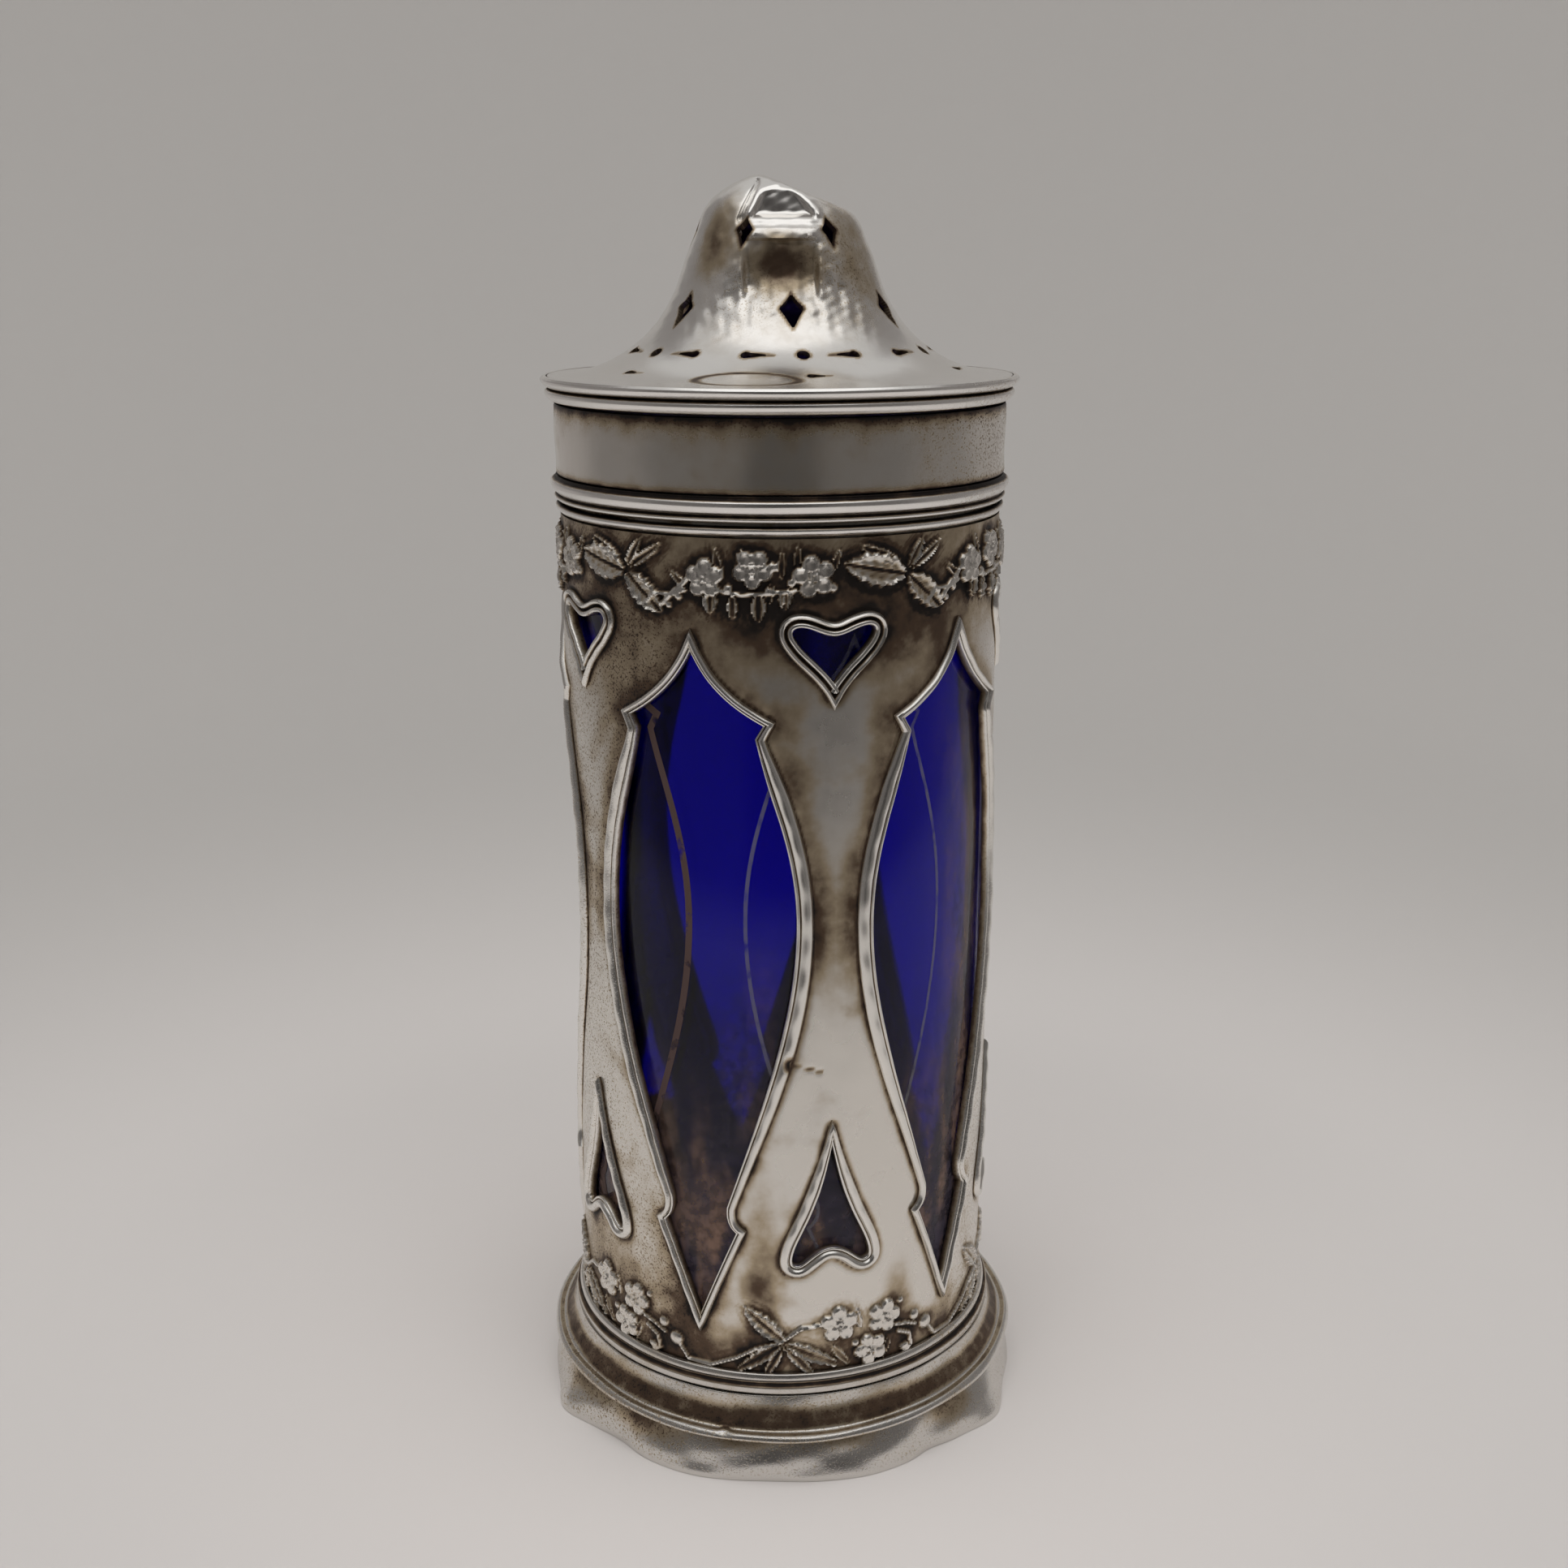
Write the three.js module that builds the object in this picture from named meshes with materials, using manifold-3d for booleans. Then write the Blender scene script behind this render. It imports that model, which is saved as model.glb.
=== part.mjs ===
// A silver sugar caster with a blue glass liner, in millimetres, +Z up.
// The origin is at the middle of the foot's rim, on the table.
// Angles run round the caster from its front, which faces -Y, towards +X.
import * as THREE from 'three';
import * as BufferGeometryUtils from 'three/addons/utils/BufferGeometryUtils.js';
import Module from 'manifold-3d';

const wasm = await Module();
wasm.setup();

// Fits between neighbours
const seamGap = 0.15;          // solder seam between two silver pieces
const restGap = 0.3;           // a loose piece above the seat that carries it
const glassClearance = 0.4;    // all round the glass, inside the sleeve
const plugClearance = 0.3;     // all round the cap's collar, inside the sleeve

// Foot
const footRadius = 29.2;       // outside of the foot's rim
const footWall = 0.8;
const rimHeight = 2.4;         // upright part of the skirt
const skirtHeight = 6.2;       // table to the ridge
const skirtDraw = 0.9;         // how far the skirt is drawn in under the ridge
const ridgeUndercut = 0.5;     // height of the hollow under the ridge
const ridgeRound = 0.9;
const shoulderHeight = 3.7;    // ridge to the top of the foot
const seatRadius = 20.6;       // edge of the round hole in the foot's top
const footWireWidth = 1.9;
const footWireHeight = 1.2;

// Moulding that hides the seam between foot and sleeve
const mouldingHeight = 2.2;
const mouldingReach = 1.3;     // past the sleeve's ground
const mouldingStep = 0.9;      // height of its wider lower half
const mouldingBevel = 0.3;     // slope on that half's upper edge
const mouldingUpperReach = 0.85;
const mouldingTopReach = 0.65;

// Sleeve
const sleeveRadius = 25.0;     // outside of the plain ground
const sleeveWall = 0.7;
const sleeveHeight = 99.0;
const ledgeHeight = 0.9;       // thickness of the ring that carries the glass
const ledgeLift = 1.2;         // ledge above the sleeve's lower edge
const ledgeBore = 17.0;
const topWireHeight = 1.05;
const topWireReach = 0.45;     // past the sleeve's ground

// Openwork: windows with beads round them, and a heart above and below each strap's waist
const repeats = 5;
const windowTurn = -22;        // middle of the first window, degrees
const windowFoot = 7.5;        // sleeve's lower edge to the window's bottom point
const windowCrown = 10.6;      // window's top point to the sleeve's upper edge
const windowHalf = 28.2;       // half the window at its widest, degrees
const bellyShare = 0.62;       // height of the widest place between the two throats
const upperPeak = 8.8;         // pointed arch above the upper cusps
const upperCusp = 19.5;        // degrees from the window's middle
const upperNotch = 1.7;        // cusp to throat, down
const upperThroat = 17.3;
const lowerPeak = 12.6;        // pointed end below the lower cusps
const lowerCusp = 11.6;
const lowerNotch = 2.9;
const lowerThroat = 9.0;
const beadRise = 0.55;         // above the sleeve's ground
const beadSlim = 1.0;          // width at the window's ends
const beadBroad = 1.9;         // width along the window's middle
const beadBury = 0.4;          // depth sunk into the wall
const beadLip = 0.15;          // bead trimmed off flush with the opening
const heartBead = 1.5;
const spadeSlim = 0.85;        // width of its bead at the point
const heartHalfWidth = 5.2;
const heartHeight = 8.2;
const heartDrop = 8.4;         // lobes of the upper heart, below the sleeve's upper edge
const spadeHalfWidth = 5.2;
const spadeHeight = 17.6;
const spadeLift = 15.4;        // lobes of the lower heart, above the sleeve's lower edge

// Glass liner
const glassWall = 1.6;
const glassBase = 2.4;
const glassRound = 0.6;

// Cap
const capWireHeight = 2.8;
const capWireReach = 1.0;      // past the sleeve's ground
const capWireFillet = 0.7;     // thin line under the thick bead
const capFilletReach = 0.55;   // past the sleeve's ground
const capGrooveReach = 0.35;   // bottom of the groove between line and bead
const capWireRound = 0.4;
const bandHeight = 7.7;
const bandReach = 0.4;         // past the sleeve's ground
const bandWall = 0.8;
const capRimHeight = 2.8;
const capRimReach = 1.8;       // past the sleeve's ground
const capRimRound = 0.2;
const lowerBeadReach = 0.85;   // past the band
const lowerBeadShare = 0.58;   // of the rim's height
const grooveDepth = 0.25;      // between the rim's two beads
const rimRebate = 0.9;         // step that the dome's edge sits in
const rimLip = 0.65;           // width of the bead outside that step
const collarWall = 0.6;
const collarDrop = 5.9;        // depth of the collar inside the sleeve
const domeWall = 0.7;
const brimRise = 10.7;         // rebate to the bell's waist
const brimLand = 1.2;          // flat underside of the brim, in the rebate
const bellRadius = 11.0;       // at the waist
const bellFlare = 1.9;         // spread of the bell just below the waist
const crownRise = 10.9;        // waist to the top
const crownTaper = 1.5;        // narrowing just above the waist
const domeRepeats = 6;
const domeTurn = 6;            // first piercing, degrees

// Knocks that the thin silver has taken
const footKnocks = [
  { turn: -62, out: 1.2, spread: 8 },
  { turn: -42, out: -0.7, spread: 10 },
  { turn: 38, out: -0.6, spread: 6 },
  { turn: 59, out: 1.4, spread: 11 },
];
const domeKnocks = [
  { turn: 2, below: 9.5, radius: 10.4, reach: 5.2, inward: 3.4, down: 0 },
  { turn: 12, below: 1.8, radius: 5.2, reach: 5.6, inward: 1.2, down: 2.4 },
];

// Facets round a full turn
const facets = 40;
const domeRings = 7;           // along each of the dome's two curves
const hollowFacets = 32;       // the same inside the dome, where nothing shows
const hollowRings = 5;
const windowSteps = 4;         // along each curve of a window's outline
const heartSteps = 3;

// Reach of a cutter past what it cuts
const overshoot = 2;

// Heights that follow from the stack
const footTop = skirtHeight + shoulderHeight;
const sleeveBottom = footTop + seamGap;
const sleeveTop = sleeveBottom + sleeveHeight;
const sleeveBore = sleeveRadius - sleeveWall;
const ledgeBottom = sleeveBottom + ledgeLift;
const ledgeTop = ledgeBottom + ledgeHeight;
const topWireBottom = sleeveTop + seamGap;
const topWireTop = topWireBottom + topWireHeight;
const glassBottom = ledgeTop + restGap;
const glassRadius = sleeveBore - glassClearance;
const collarRadius = sleeveBore - plugClearance;
const collarBottom = topWireTop - collarDrop;
const glassTop = collarBottom - restGap;
const capWireBottom = topWireTop + restGap;
const capWireTop = capWireBottom + capWireHeight;
const bandBottom = capWireTop + seamGap;
const bandTop = bandBottom + bandHeight;
const bandRadius = sleeveRadius + bandReach;
const bandBore = bandRadius - bandWall;
const rimBottom = bandTop + seamGap;
const rimTop = rimBottom + capRimHeight;
const rimRadius = sleeveRadius + capRimReach;
const rebateRadius = rimRadius - rimLip;
const rebateFloor = rimTop - rimRebate;
const domeEdge = rebateRadius - seamGap;
const domeSeat = rebateFloor + seamGap;
const domeBase = domeSeat + domeWall;
const domeWaist = domeBase + brimRise;
const domeTop = domeWaist + crownRise;

const radians = THREE.MathUtils.degToRad;
const smooth = THREE.MathUtils.smoothstep;

// Finishes
const silver = (color, roughness) => new THREE.MeshStandardMaterial({ color, roughness, metalness: 1 });
const cobalt = () => new THREE.MeshStandardMaterial({
  color: 0x160a8c, roughness: 0.08, metalness: 0, transparent: true, opacity: 0.7,
});

const caster = new THREE.Group();

function addPiece(name, geometry, material) {
  const mesh = new THREE.Mesh(geometry, material);
  mesh.name = name;
  caster.add(mesh);
}

// Solids of revolution: a profile of [radius, height] points, turned about Z
function turned(profile, segments = facets) {
  const points = profile.map(([radius, height]) => new THREE.Vector2(radius, height));
  return new THREE.LatheGeometry(points, segments).rotateX(Math.PI / 2);
}

// The same for a ring, whose profile closes on itself
const turnedRing = (profile, segments) => turned([...profile, profile[0]], segments);

function solidOf(geometry) {
  const bare = geometry.clone();
  bare.deleteAttribute('normal');
  bare.deleteAttribute('uv');
  const merged = BufferGeometryUtils.mergeVertices(bare, 1e-4);
  const index = merged.index.array;
  const corners = [];
  for (let i = 0; i < index.length; i += 3) {
    const [a, b, c] = [index[i], index[i + 1], index[i + 2]];
    if (a !== b && b !== c && c !== a) corners.push(a, b, c);
  }
  return new wasm.Manifold(new wasm.Mesh({
    numProp: 3,
    vertProperties: new Float32Array(merged.attributes.position.array),
    triVerts: new Uint32Array(corners),
  }));
}

function geometryOf(solid) {
  const mesh = solid.getMesh();
  const geometry = new THREE.BufferGeometry();
  geometry.setAttribute('position', new THREE.BufferAttribute(mesh.vertProperties, 3));
  geometry.setIndex(new THREE.BufferAttribute(mesh.triVerts, 1));
  geometry.computeVertexNormals();
  return geometry;
}

// A closed skin over rings of points, the same number in each; the last ring meets the first
function loopSkin(rings) {
  const sides = rings[0].length;
  const corners = [];
  for (let i = 0; i < rings.length; i++) {
    const next = (i + 1) % rings.length;
    for (let j = 0; j < sides; j++) {
      const k = (j + 1) % sides;
      corners.push(i * sides + j, i * sides + k, next * sides + k);
      corners.push(i * sides + j, next * sides + k, next * sides + j);
    }
  }
  const geometry = new THREE.BufferGeometry().setFromPoints(rings.flat());
  geometry.setIndex(corners);
  return geometry;
}

// Foot: one stamping with a skirt, a ridge, a hollow shoulder and a flat top that carries the sleeve
const footKnock = (turn, height) => {
  const fade = 1 - smooth(height, 0, skirtHeight);
  const push = (sum, knock) => sum + knock.out * Math.exp(-(((turn - knock.turn) / knock.spread) ** 2));
  return fade * footKnocks.reduce(push, 0);
};

function knockFoot(geometry) {
  const position = geometry.attributes.position;
  for (let i = 0; i < position.count; i++) {
    const [x, y, z] = [position.getX(i), position.getY(i), position.getZ(i)];
    const radius = Math.hypot(x, y);
    const turn = THREE.MathUtils.radToDeg(Math.atan2(x, -y));
    const share = (radius + footKnock(turn, z)) / radius;
    position.setXYZ(i, x * share, y * share, z);
  }
  return geometry;
}

function foot() {
  const ridge = skirtHeight + ridgeRound;
  const skirtTop = skirtHeight - ridgeUndercut;
  const neck = sleeveRadius + mouldingReach;
  const bend = neck + (footRadius - neck) * 0.25;
  const bendHeight = ridge + (footTop - ridge) * 0.3;
  return knockFoot(turnedRing([
    [footRadius, 0],
    [footRadius, rimHeight],
    [footRadius - skirtDraw, skirtTop],
    [footRadius, skirtHeight],
    [footRadius - ridgeRound * 0.3, ridge - ridgeRound * 0.3],
    [footRadius - ridgeRound, ridge],
    [bend, bendHeight],
    [neck, footTop],
    [seatRadius, footTop],
    [seatRadius, footTop - footWall],
    [neck - footWall, footTop - footWall],
    [bend - footWall, bendHeight - footWall * 0.5],
    [footRadius - skirtDraw - footWall, skirtHeight],
    [footRadius - skirtDraw - footWall, skirtTop],
    [footRadius - footWall, rimHeight],
    [footRadius - footWall, 0],
  ]));
}

addPiece('foot', foot(), silver(0xa8a49e, 0.3));

// Foot wire: soldered inside the rim, flat below, and bent with it
const wireOutside = footRadius - footWall - seamGap;
addPiece('foot_wire', knockFoot(turnedRing([
  [wireOutside, 0],
  [wireOutside, footWireHeight],
  [wireOutside - footWireWidth * 0.6, footWireHeight],
  [wireOutside - footWireWidth, 0],
])), silver(0x9a968f, 0.4));

// Foot moulding: a stepped ring round the bottom of the sleeve
const mouldingBore = sleeveRadius + seamGap;
const mouldingStepTop = sleeveBottom + mouldingStep;
const mouldingTop = sleeveBottom + mouldingHeight;
addPiece('foot_moulding', turnedRing([
  [mouldingBore, sleeveBottom],
  [sleeveRadius + mouldingReach, sleeveBottom],
  [sleeveRadius + mouldingReach, mouldingStepTop - mouldingBevel],
  [sleeveRadius + mouldingUpperReach, mouldingStepTop],
  [sleeveRadius + mouldingTopReach, mouldingTop],
  [mouldingBore, mouldingTop],
]), silver(0x8d8983, 0.35));

// Openwork outlines, as bead centre lines: [along the wall, height] from a vertical middle line
const arc = (degrees) => radians(degrees) * sleeveRadius;

function windowHalfPath() {
  const bottomTip = sleeveBottom + windowFoot;
  const topTip = sleeveTop - windowCrown;
  const upperCuspHeight = topTip - upperPeak;
  const upperThroatHeight = upperCuspHeight - upperNotch;
  const lowerCuspHeight = bottomTip + lowerPeak;
  const lowerThroatHeight = lowerCuspHeight + lowerNotch;
  const belly = THREE.MathUtils.lerp(lowerThroatHeight, upperThroatHeight, bellyShare);
  const upperReach = upperThroatHeight - belly;
  const lowerReach = belly - lowerThroatHeight;
  const path = new THREE.Path();
  path.moveTo(0, topTip);
  path.quadraticCurveTo(arc(upperCusp * 0.23), topTip - upperPeak * 0.62, arc(upperCusp), upperCuspHeight);
  path.lineTo(arc(upperThroat), upperThroatHeight);
  path.bezierCurveTo(arc(upperThroat * 1.2), upperThroatHeight - upperReach * 0.26,
    arc(windowHalf), belly + upperReach * 0.43, arc(windowHalf), belly);
  path.bezierCurveTo(arc(windowHalf), belly - lowerReach * 0.35,
    arc(lowerThroat * 2), lowerThroatHeight + lowerReach * 0.34, arc(lowerThroat), lowerThroatHeight);
  path.quadraticCurveTo(arc(lowerThroat * 0.93), lowerCuspHeight + lowerNotch * 0.3, arc(lowerCusp), lowerCuspHeight);
  path.quadraticCurveTo(arc(lowerCusp * 0.52), bottomTip + lowerPeak * 0.54, 0, bottomTip);
  return path;
}

function heartHalfPath() {
  const lobes = sleeveTop - heartDrop;
  const tip = lobes - heartHeight;
  const path = new THREE.Path();
  path.moveTo(0, tip);
  path.bezierCurveTo(heartHalfWidth * 0.26, tip + heartHeight * 0.32,
    heartHalfWidth * 0.68, tip + heartHeight * 0.46, heartHalfWidth * 0.9, tip + heartHeight * 0.68);
  path.bezierCurveTo(heartHalfWidth * 1.1, tip + heartHeight * 0.85,
    heartHalfWidth * 0.96, lobes, heartHalfWidth * 0.7, lobes);
  path.bezierCurveTo(heartHalfWidth * 0.42, lobes,
    heartHalfWidth * 0.22, lobes - heartHeight * 0.12, 0, lobes - heartHeight * 0.12);
  return path;
}

function spadeHalfPath() {
  const lobes = sleeveBottom + spadeLift;
  const path = new THREE.Path();
  path.moveTo(0, lobes + spadeHeight);
  path.bezierCurveTo(spadeHalfWidth * 0.13, lobes + spadeHeight * 0.83,
    spadeHalfWidth * 0.3, lobes + spadeHeight * 0.62, spadeHalfWidth * 0.65, lobes + spadeHeight * 0.375);
  path.bezierCurveTo(spadeHalfWidth * 0.85, lobes + spadeHeight * 0.24,
    spadeHalfWidth * 1.23, lobes + spadeHeight * 0.04, spadeHalfWidth * 0.86, lobes);
  path.bezierCurveTo(spadeHalfWidth * 0.54, lobes - spadeHeight * 0.04,
    spadeHalfWidth * 0.36, lobes + spadeHeight * 0.11, 0, lobes + spadeHeight * 0.11);
  return path;
}

// Whole outline from its right half, which starts and ends on the middle line
function wholeOutline(halfPath, steps) {
  const half = [];
  for (const curve of halfPath.curves) {
    const count = curve.isLineCurve ? 1 : steps;
    for (let i = 0; i < count; i++) half.push(curve.getPoint(i / count));
  }
  half.push(halfPath.getPoint(1));
  const mirrored = half.slice(1, -1).reverse().map((point) => new THREE.Vector2(-point.x, point.y));
  const outline = [...half, ...mirrored];
  return THREE.ShapeUtils.isClockWise(outline) ? outline.reverse() : outline;
}

// Directions out of the outline at its points, stretched at corners so that widths hold
function mitres(outline) {
  return outline.map((point, i) => {
    const before = outline[(i + outline.length - 1) % outline.length];
    const after = outline[(i + 1) % outline.length];
    const into = point.clone().sub(before).normalize();
    const on = after.clone().sub(point).normalize();
    const normal = new THREE.Vector2(into.y + on.y, -into.x - on.x).normalize();
    const stretch = Math.max(normal.dot(new THREE.Vector2(into.y, -into.x)), 0.35);
    return normal.divideScalar(stretch);
  });
}

const onSleeve = (turn, along, height, radius) => {
  const angle = radians(turn) + along / sleeveRadius;
  return new THREE.Vector3(radius * Math.sin(angle), -radius * Math.cos(angle), height);
};

// Bead section: [share of the half width, height above the ground], from the opening outwards
const beadSection = [[-1.3, -beadBury], [-0.5, beadRise * 0.9], [0.3, beadRise], [1, -beadBury]];

function bead(outline, turn, widthAt) {
  const outward = mitres(outline);
  const rings = outline.map((point, i) => beadSection.map(([share, rise]) => {
    const side = point.clone().addScaledVector(outward[i], share * widthAt(point.y) / 2);
    return onSleeve(turn, side.x, side.y, sleeveRadius + rise);
  }));
  return solidOf(loopSkin(rings));
}

// Cutter for the opening inside a bead: a straight prism through the wall
function opening(outline, turn, widthAt) {
  const outward = mitres(outline);
  const inner = outline.map((point, i) => {
    const edge = point.clone().addScaledVector(outward[i], beadLip - widthAt(point.y) / 2);
    return new THREE.Vector2(sleeveRadius * Math.sin(edge.x / sleeveRadius), edge.y);
  });
  const inside = sleeveRadius * 0.7;
  const outside = sleeveRadius * 1.2;
  const prism = new THREE.ExtrudeGeometry(new THREE.Shape(inner), { depth: outside - inside, bevelEnabled: false });
  prism.translate(0, 0, inside).rotateX(Math.PI / 2).rotateZ(radians(turn));
  return solidOf(prism);
}

function windowWidthAt(height) {
  const low = smooth(height, sleeveBottom + windowFoot + lowerPeak, sleeveBottom + windowFoot + 3 * lowerPeak);
  const high = smooth(height, sleeveTop - windowCrown - 2 * upperPeak, sleeveTop - windowCrown - upperPeak);
  return THREE.MathUtils.lerp(beadSlim, beadBroad, low * (1 - high));
}

const heartWidthAt = () => heartBead;

function spadeWidthAt(height) {
  const point = sleeveBottom + spadeLift + spadeHeight;
  return THREE.MathUtils.lerp(heartBead, spadeSlim, smooth(height, point - spadeHeight * 0.5, point));
}

function sleeve() {
  let wall = solidOf(turnedRing([
    [sleeveBore, sleeveBottom], [sleeveRadius, sleeveBottom],
    [sleeveRadius, sleeveTop], [sleeveBore, sleeveTop],
  ]));
  const openings = [
    { outline: wholeOutline(windowHalfPath(), windowSteps), turn: 0, widthAt: windowWidthAt },
    { outline: wholeOutline(heartHalfPath(), heartSteps), turn: 180 / repeats, widthAt: heartWidthAt },
    { outline: wholeOutline(spadeHalfPath(), heartSteps), turn: 180 / repeats, widthAt: spadeWidthAt },
  ];
  const cutters = [];
  for (let i = 0; i < repeats; i++) {
    for (const { outline, turn, widthAt } of openings) {
      const place = windowTurn + turn + i * 360 / repeats;
      wall = wall.add(bead(outline, place, widthAt));
      cutters.push(opening(outline, place, widthAt));
    }
  }
  return geometryOf(cutters.reduce((solid, cutter) => solid.subtract(cutter), wall));
}

addPiece('sleeve', sleeve(), silver(0x9d988f, 0.28));

// Sleeve top wire: half round, on the sleeve's upper edge
addPiece('sleeve_top_wire', turnedRing([
  [sleeveBore, topWireBottom],
  [sleeveRadius + topWireReach * 0.5, topWireBottom],
  [sleeveRadius + topWireReach, topWireBottom + topWireHeight * 0.5],
  [sleeveRadius + topWireReach * 0.5, topWireTop],
  [sleeveBore, topWireTop],
]), silver(0xc4c0b8, 0.22));

// Liner ledge: a flat ring inside the sleeve that the glass stands on
addPiece('liner_ledge', turnedRing([
  [ledgeBore, ledgeBottom],
  [sleeveBore - seamGap, ledgeBottom],
  [sleeveBore - seamGap, ledgeTop],
  [ledgeBore, ledgeTop],
]), silver(0x88847e, 0.45));

// Glass liner: a straight cup with a rounded rim and a thick base
const glassBore = glassRadius - glassWall;
addPiece('glass_liner', turned([
  [0, glassBottom],
  [glassRadius - glassRound, glassBottom],
  [glassRadius, glassBottom + glassRound],
  [glassRadius, glassTop - glassRound],
  [glassRadius - glassWall * 0.3, glassTop],
  [glassBore + glassWall * 0.3, glassTop],
  [glassBore, glassTop - glassRound],
  [glassBore, glassBottom + glassBase + glassRound],
  [glassBore - glassRound, glassBottom + glassBase],
  [0, glassBottom + glassBase],
]), cobalt());

// Cap collar: the bezel that plugs into the sleeve
addPiece('cap_collar', turnedRing([
  [collarRadius - collarWall, collarBottom],
  [collarRadius - collarWall * 0.3, collarBottom],
  [collarRadius, collarBottom + collarWall],
  [collarRadius, capWireTop],
  [collarRadius - collarWall, capWireTop],
]), silver(0xa09c95, 0.35));

// Cap wire: a thin line and a thick bead round the band's lower edge
addPiece('cap_wire', turnedRing([
  [collarRadius + seamGap, capWireBottom],
  [sleeveRadius + capFilletReach, capWireBottom],
  [sleeveRadius + capFilletReach, capWireBottom + capWireFillet * 0.7],
  [sleeveRadius + capGrooveReach, capWireBottom + capWireFillet],
  [sleeveRadius + capWireReach * 0.85, capWireBottom + capWireFillet + capWireRound],
  [sleeveRadius + capWireReach, (capWireBottom + capWireFillet + capWireTop) / 2],
  [sleeveRadius + capWireReach * 0.85, capWireTop - capWireRound],
  [bandRadius, capWireTop],
  [collarRadius + seamGap, capWireTop],
]), silver(0xc9c5bd, 0.2));

// Cap band: plain straight wall
addPiece('cap_band', turnedRing([
  [bandBore, bandBottom], [bandRadius, bandBottom], [bandRadius, bandTop], [bandBore, bandTop],
]), silver(0xa39e97, 0.25));

// Cap rim: two beads, with a rebate inside the upper one for the dome's edge
const lowerBead = bandRadius + lowerBeadReach;
const rimGroove = rimBottom + capRimHeight * lowerBeadShare;
addPiece('cap_rim', turnedRing([
  [bandBore, rimBottom],
  [bandRadius + capRimRound, rimBottom],
  [lowerBead - capRimRound * 0.5, rimBottom + capRimRound * 2],
  [lowerBead, (rimBottom + rimGroove) / 2],
  [lowerBead - grooveDepth, rimGroove],
  [rimRadius - capRimRound, rimGroove + capRimRound],
  [rimRadius, (rimGroove + rimTop) / 2],
  [rimRadius - capRimRound, rimTop],
  [rebateRadius, rimTop],
  [rebateRadius, rebateFloor],
  [bandBore, rebateFloor],
]), silver(0xcfcbc4, 0.18));

// Dome: a broad brim that sweeps up into a bell, raised from thin sheet, pierced and knocked
const domePath = new THREE.Path();
domePath.moveTo(domeEdge, domeBase);
domePath.bezierCurveTo((domeEdge + bellRadius) / 2, domeBase,
  bellRadius + bellFlare, domeWaist - brimRise * 0.57, bellRadius, domeWaist);
domePath.bezierCurveTo(bellRadius - crownTaper, domeWaist + crownRise * 0.44,
  bellRadius * 0.55, domeTop, 0, domeTop);

function domeProfile(wall, rings) {
  const points = [];
  for (const curve of domePath.curves) {
    for (let i = 0; i < rings; i++) {
      const point = curve.getPoint(i / rings);
      const along = curve.getTangent(i / rings);
      points.push([point.x - along.y * wall, point.y + along.x * wall]);
    }
  }
  points.push([0, domeTop - wall]);
  return points;
}

function knockDome(geometry) {
  const position = geometry.attributes.position;
  const point = new THREE.Vector3();
  for (let i = 0; i < position.count; i++) {
    point.fromBufferAttribute(position, i);
    for (const { turn, below, radius, reach, inward, down } of domeKnocks) {
      const angle = radians(turn);
      const centre = new THREE.Vector3(radius * Math.sin(angle), -radius * Math.cos(angle), domeTop - below);
      const share = Math.max(0, 1 - point.distanceToSquared(centre) / reach ** 2) ** 2;
      const inwards = new THREE.Vector3(-Math.sin(angle), Math.cos(angle), 0);
      point.addScaledVector(inwards, inward * share);
      point.z -= down * share;
    }
    position.setXYZ(i, point.x, point.y, point.z);
  }
  return geometry;
}

// Piercings: [turn within a repeat, place along the profile 0 to 2, outline across and up]
const diamond = (width, height) => [[-width / 2, 0], [0, -height / 2], [width / 2, 0], [0, height / 2]];
const dot = (radius) => Array.from({ length: 5 }, (_, i) => (
  [radius * Math.cos(i * 0.4 * Math.PI), radius * Math.sin(i * 0.4 * Math.PI)]
));
const tear = (length, height, way) => [
  [-length * 0.35, 0], [-length * 0.1, -height / 2], [length * 0.65, 0], [-length * 0.1, height / 2],
].map(([across, up]) => [across * way, up]);
const piercings = [
  { turn: 0, place: 0.82, outline: diamond(2.7, 3.7) },
  { turn: 30, place: 1.37, outline: diamond(2.2, 3.4) },
  { turn: 2, place: 0.5, outline: dot(0.75) },
  { turn: -15, place: 0.49, outline: tear(3.2, 1.2, 1) },
  { turn: 19, place: 0.49, outline: tear(3.2, 1.2, -1) },
  { turn: 5, place: 0.24, outline: tear(2.4, 1.1, 1) },
];

function piercing({ turn, place, outline }, step) {
  const curve = domePath.curves[Math.floor(place)];
  const point = curve.getPoint(place % 1);
  const along = curve.getTangent(place % 1);
  const corners = outline.map(([across, up]) => new THREE.Vector2(across, up));
  if (THREE.ShapeUtils.isClockWise(corners)) corners.reverse();
  const depth = domeWall + 4 * overshoot;
  const prism = new THREE.ExtrudeGeometry(new THREE.Shape(corners), { depth, bevelEnabled: false });
  prism.translate(0, 0, -depth / 2);
  const tilt = new THREE.Matrix4().makeBasis(
    new THREE.Vector3(1, 0, 0),
    new THREE.Vector3(0, -along.x, along.y),
    new THREE.Vector3(0, -along.y, -along.x),
  ).setPosition(0, -point.x, point.y);
  prism.applyMatrix4(tilt);
  prism.rotateZ(radians(domeTurn + turn + step * 360 / domeRepeats));
  return solidOf(prism);
}

function dome() {
  const outside = solidOf(knockDome(turned([[0, domeSeat], [domeEdge, domeSeat], ...domeProfile(0, domeRings)])));
  const inside = domeProfile(domeWall, hollowRings).slice(1);
  const below = domeSeat - overshoot;
  const hollow = solidOf(knockDome(turned([[0, below], [domeEdge - brimLand, below], ...inside], hollowFacets)));
  let shell = outside.subtract(hollow);
  for (let step = 0; step < domeRepeats; step++) {
    for (const hole of piercings) shell = shell.subtract(piercing(hole, step));
  }
  return geometryOf(shell);
}

addPiece('cap_dome', dome(), silver(0xbdb9b1, 0.2));

export default caster;
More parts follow.
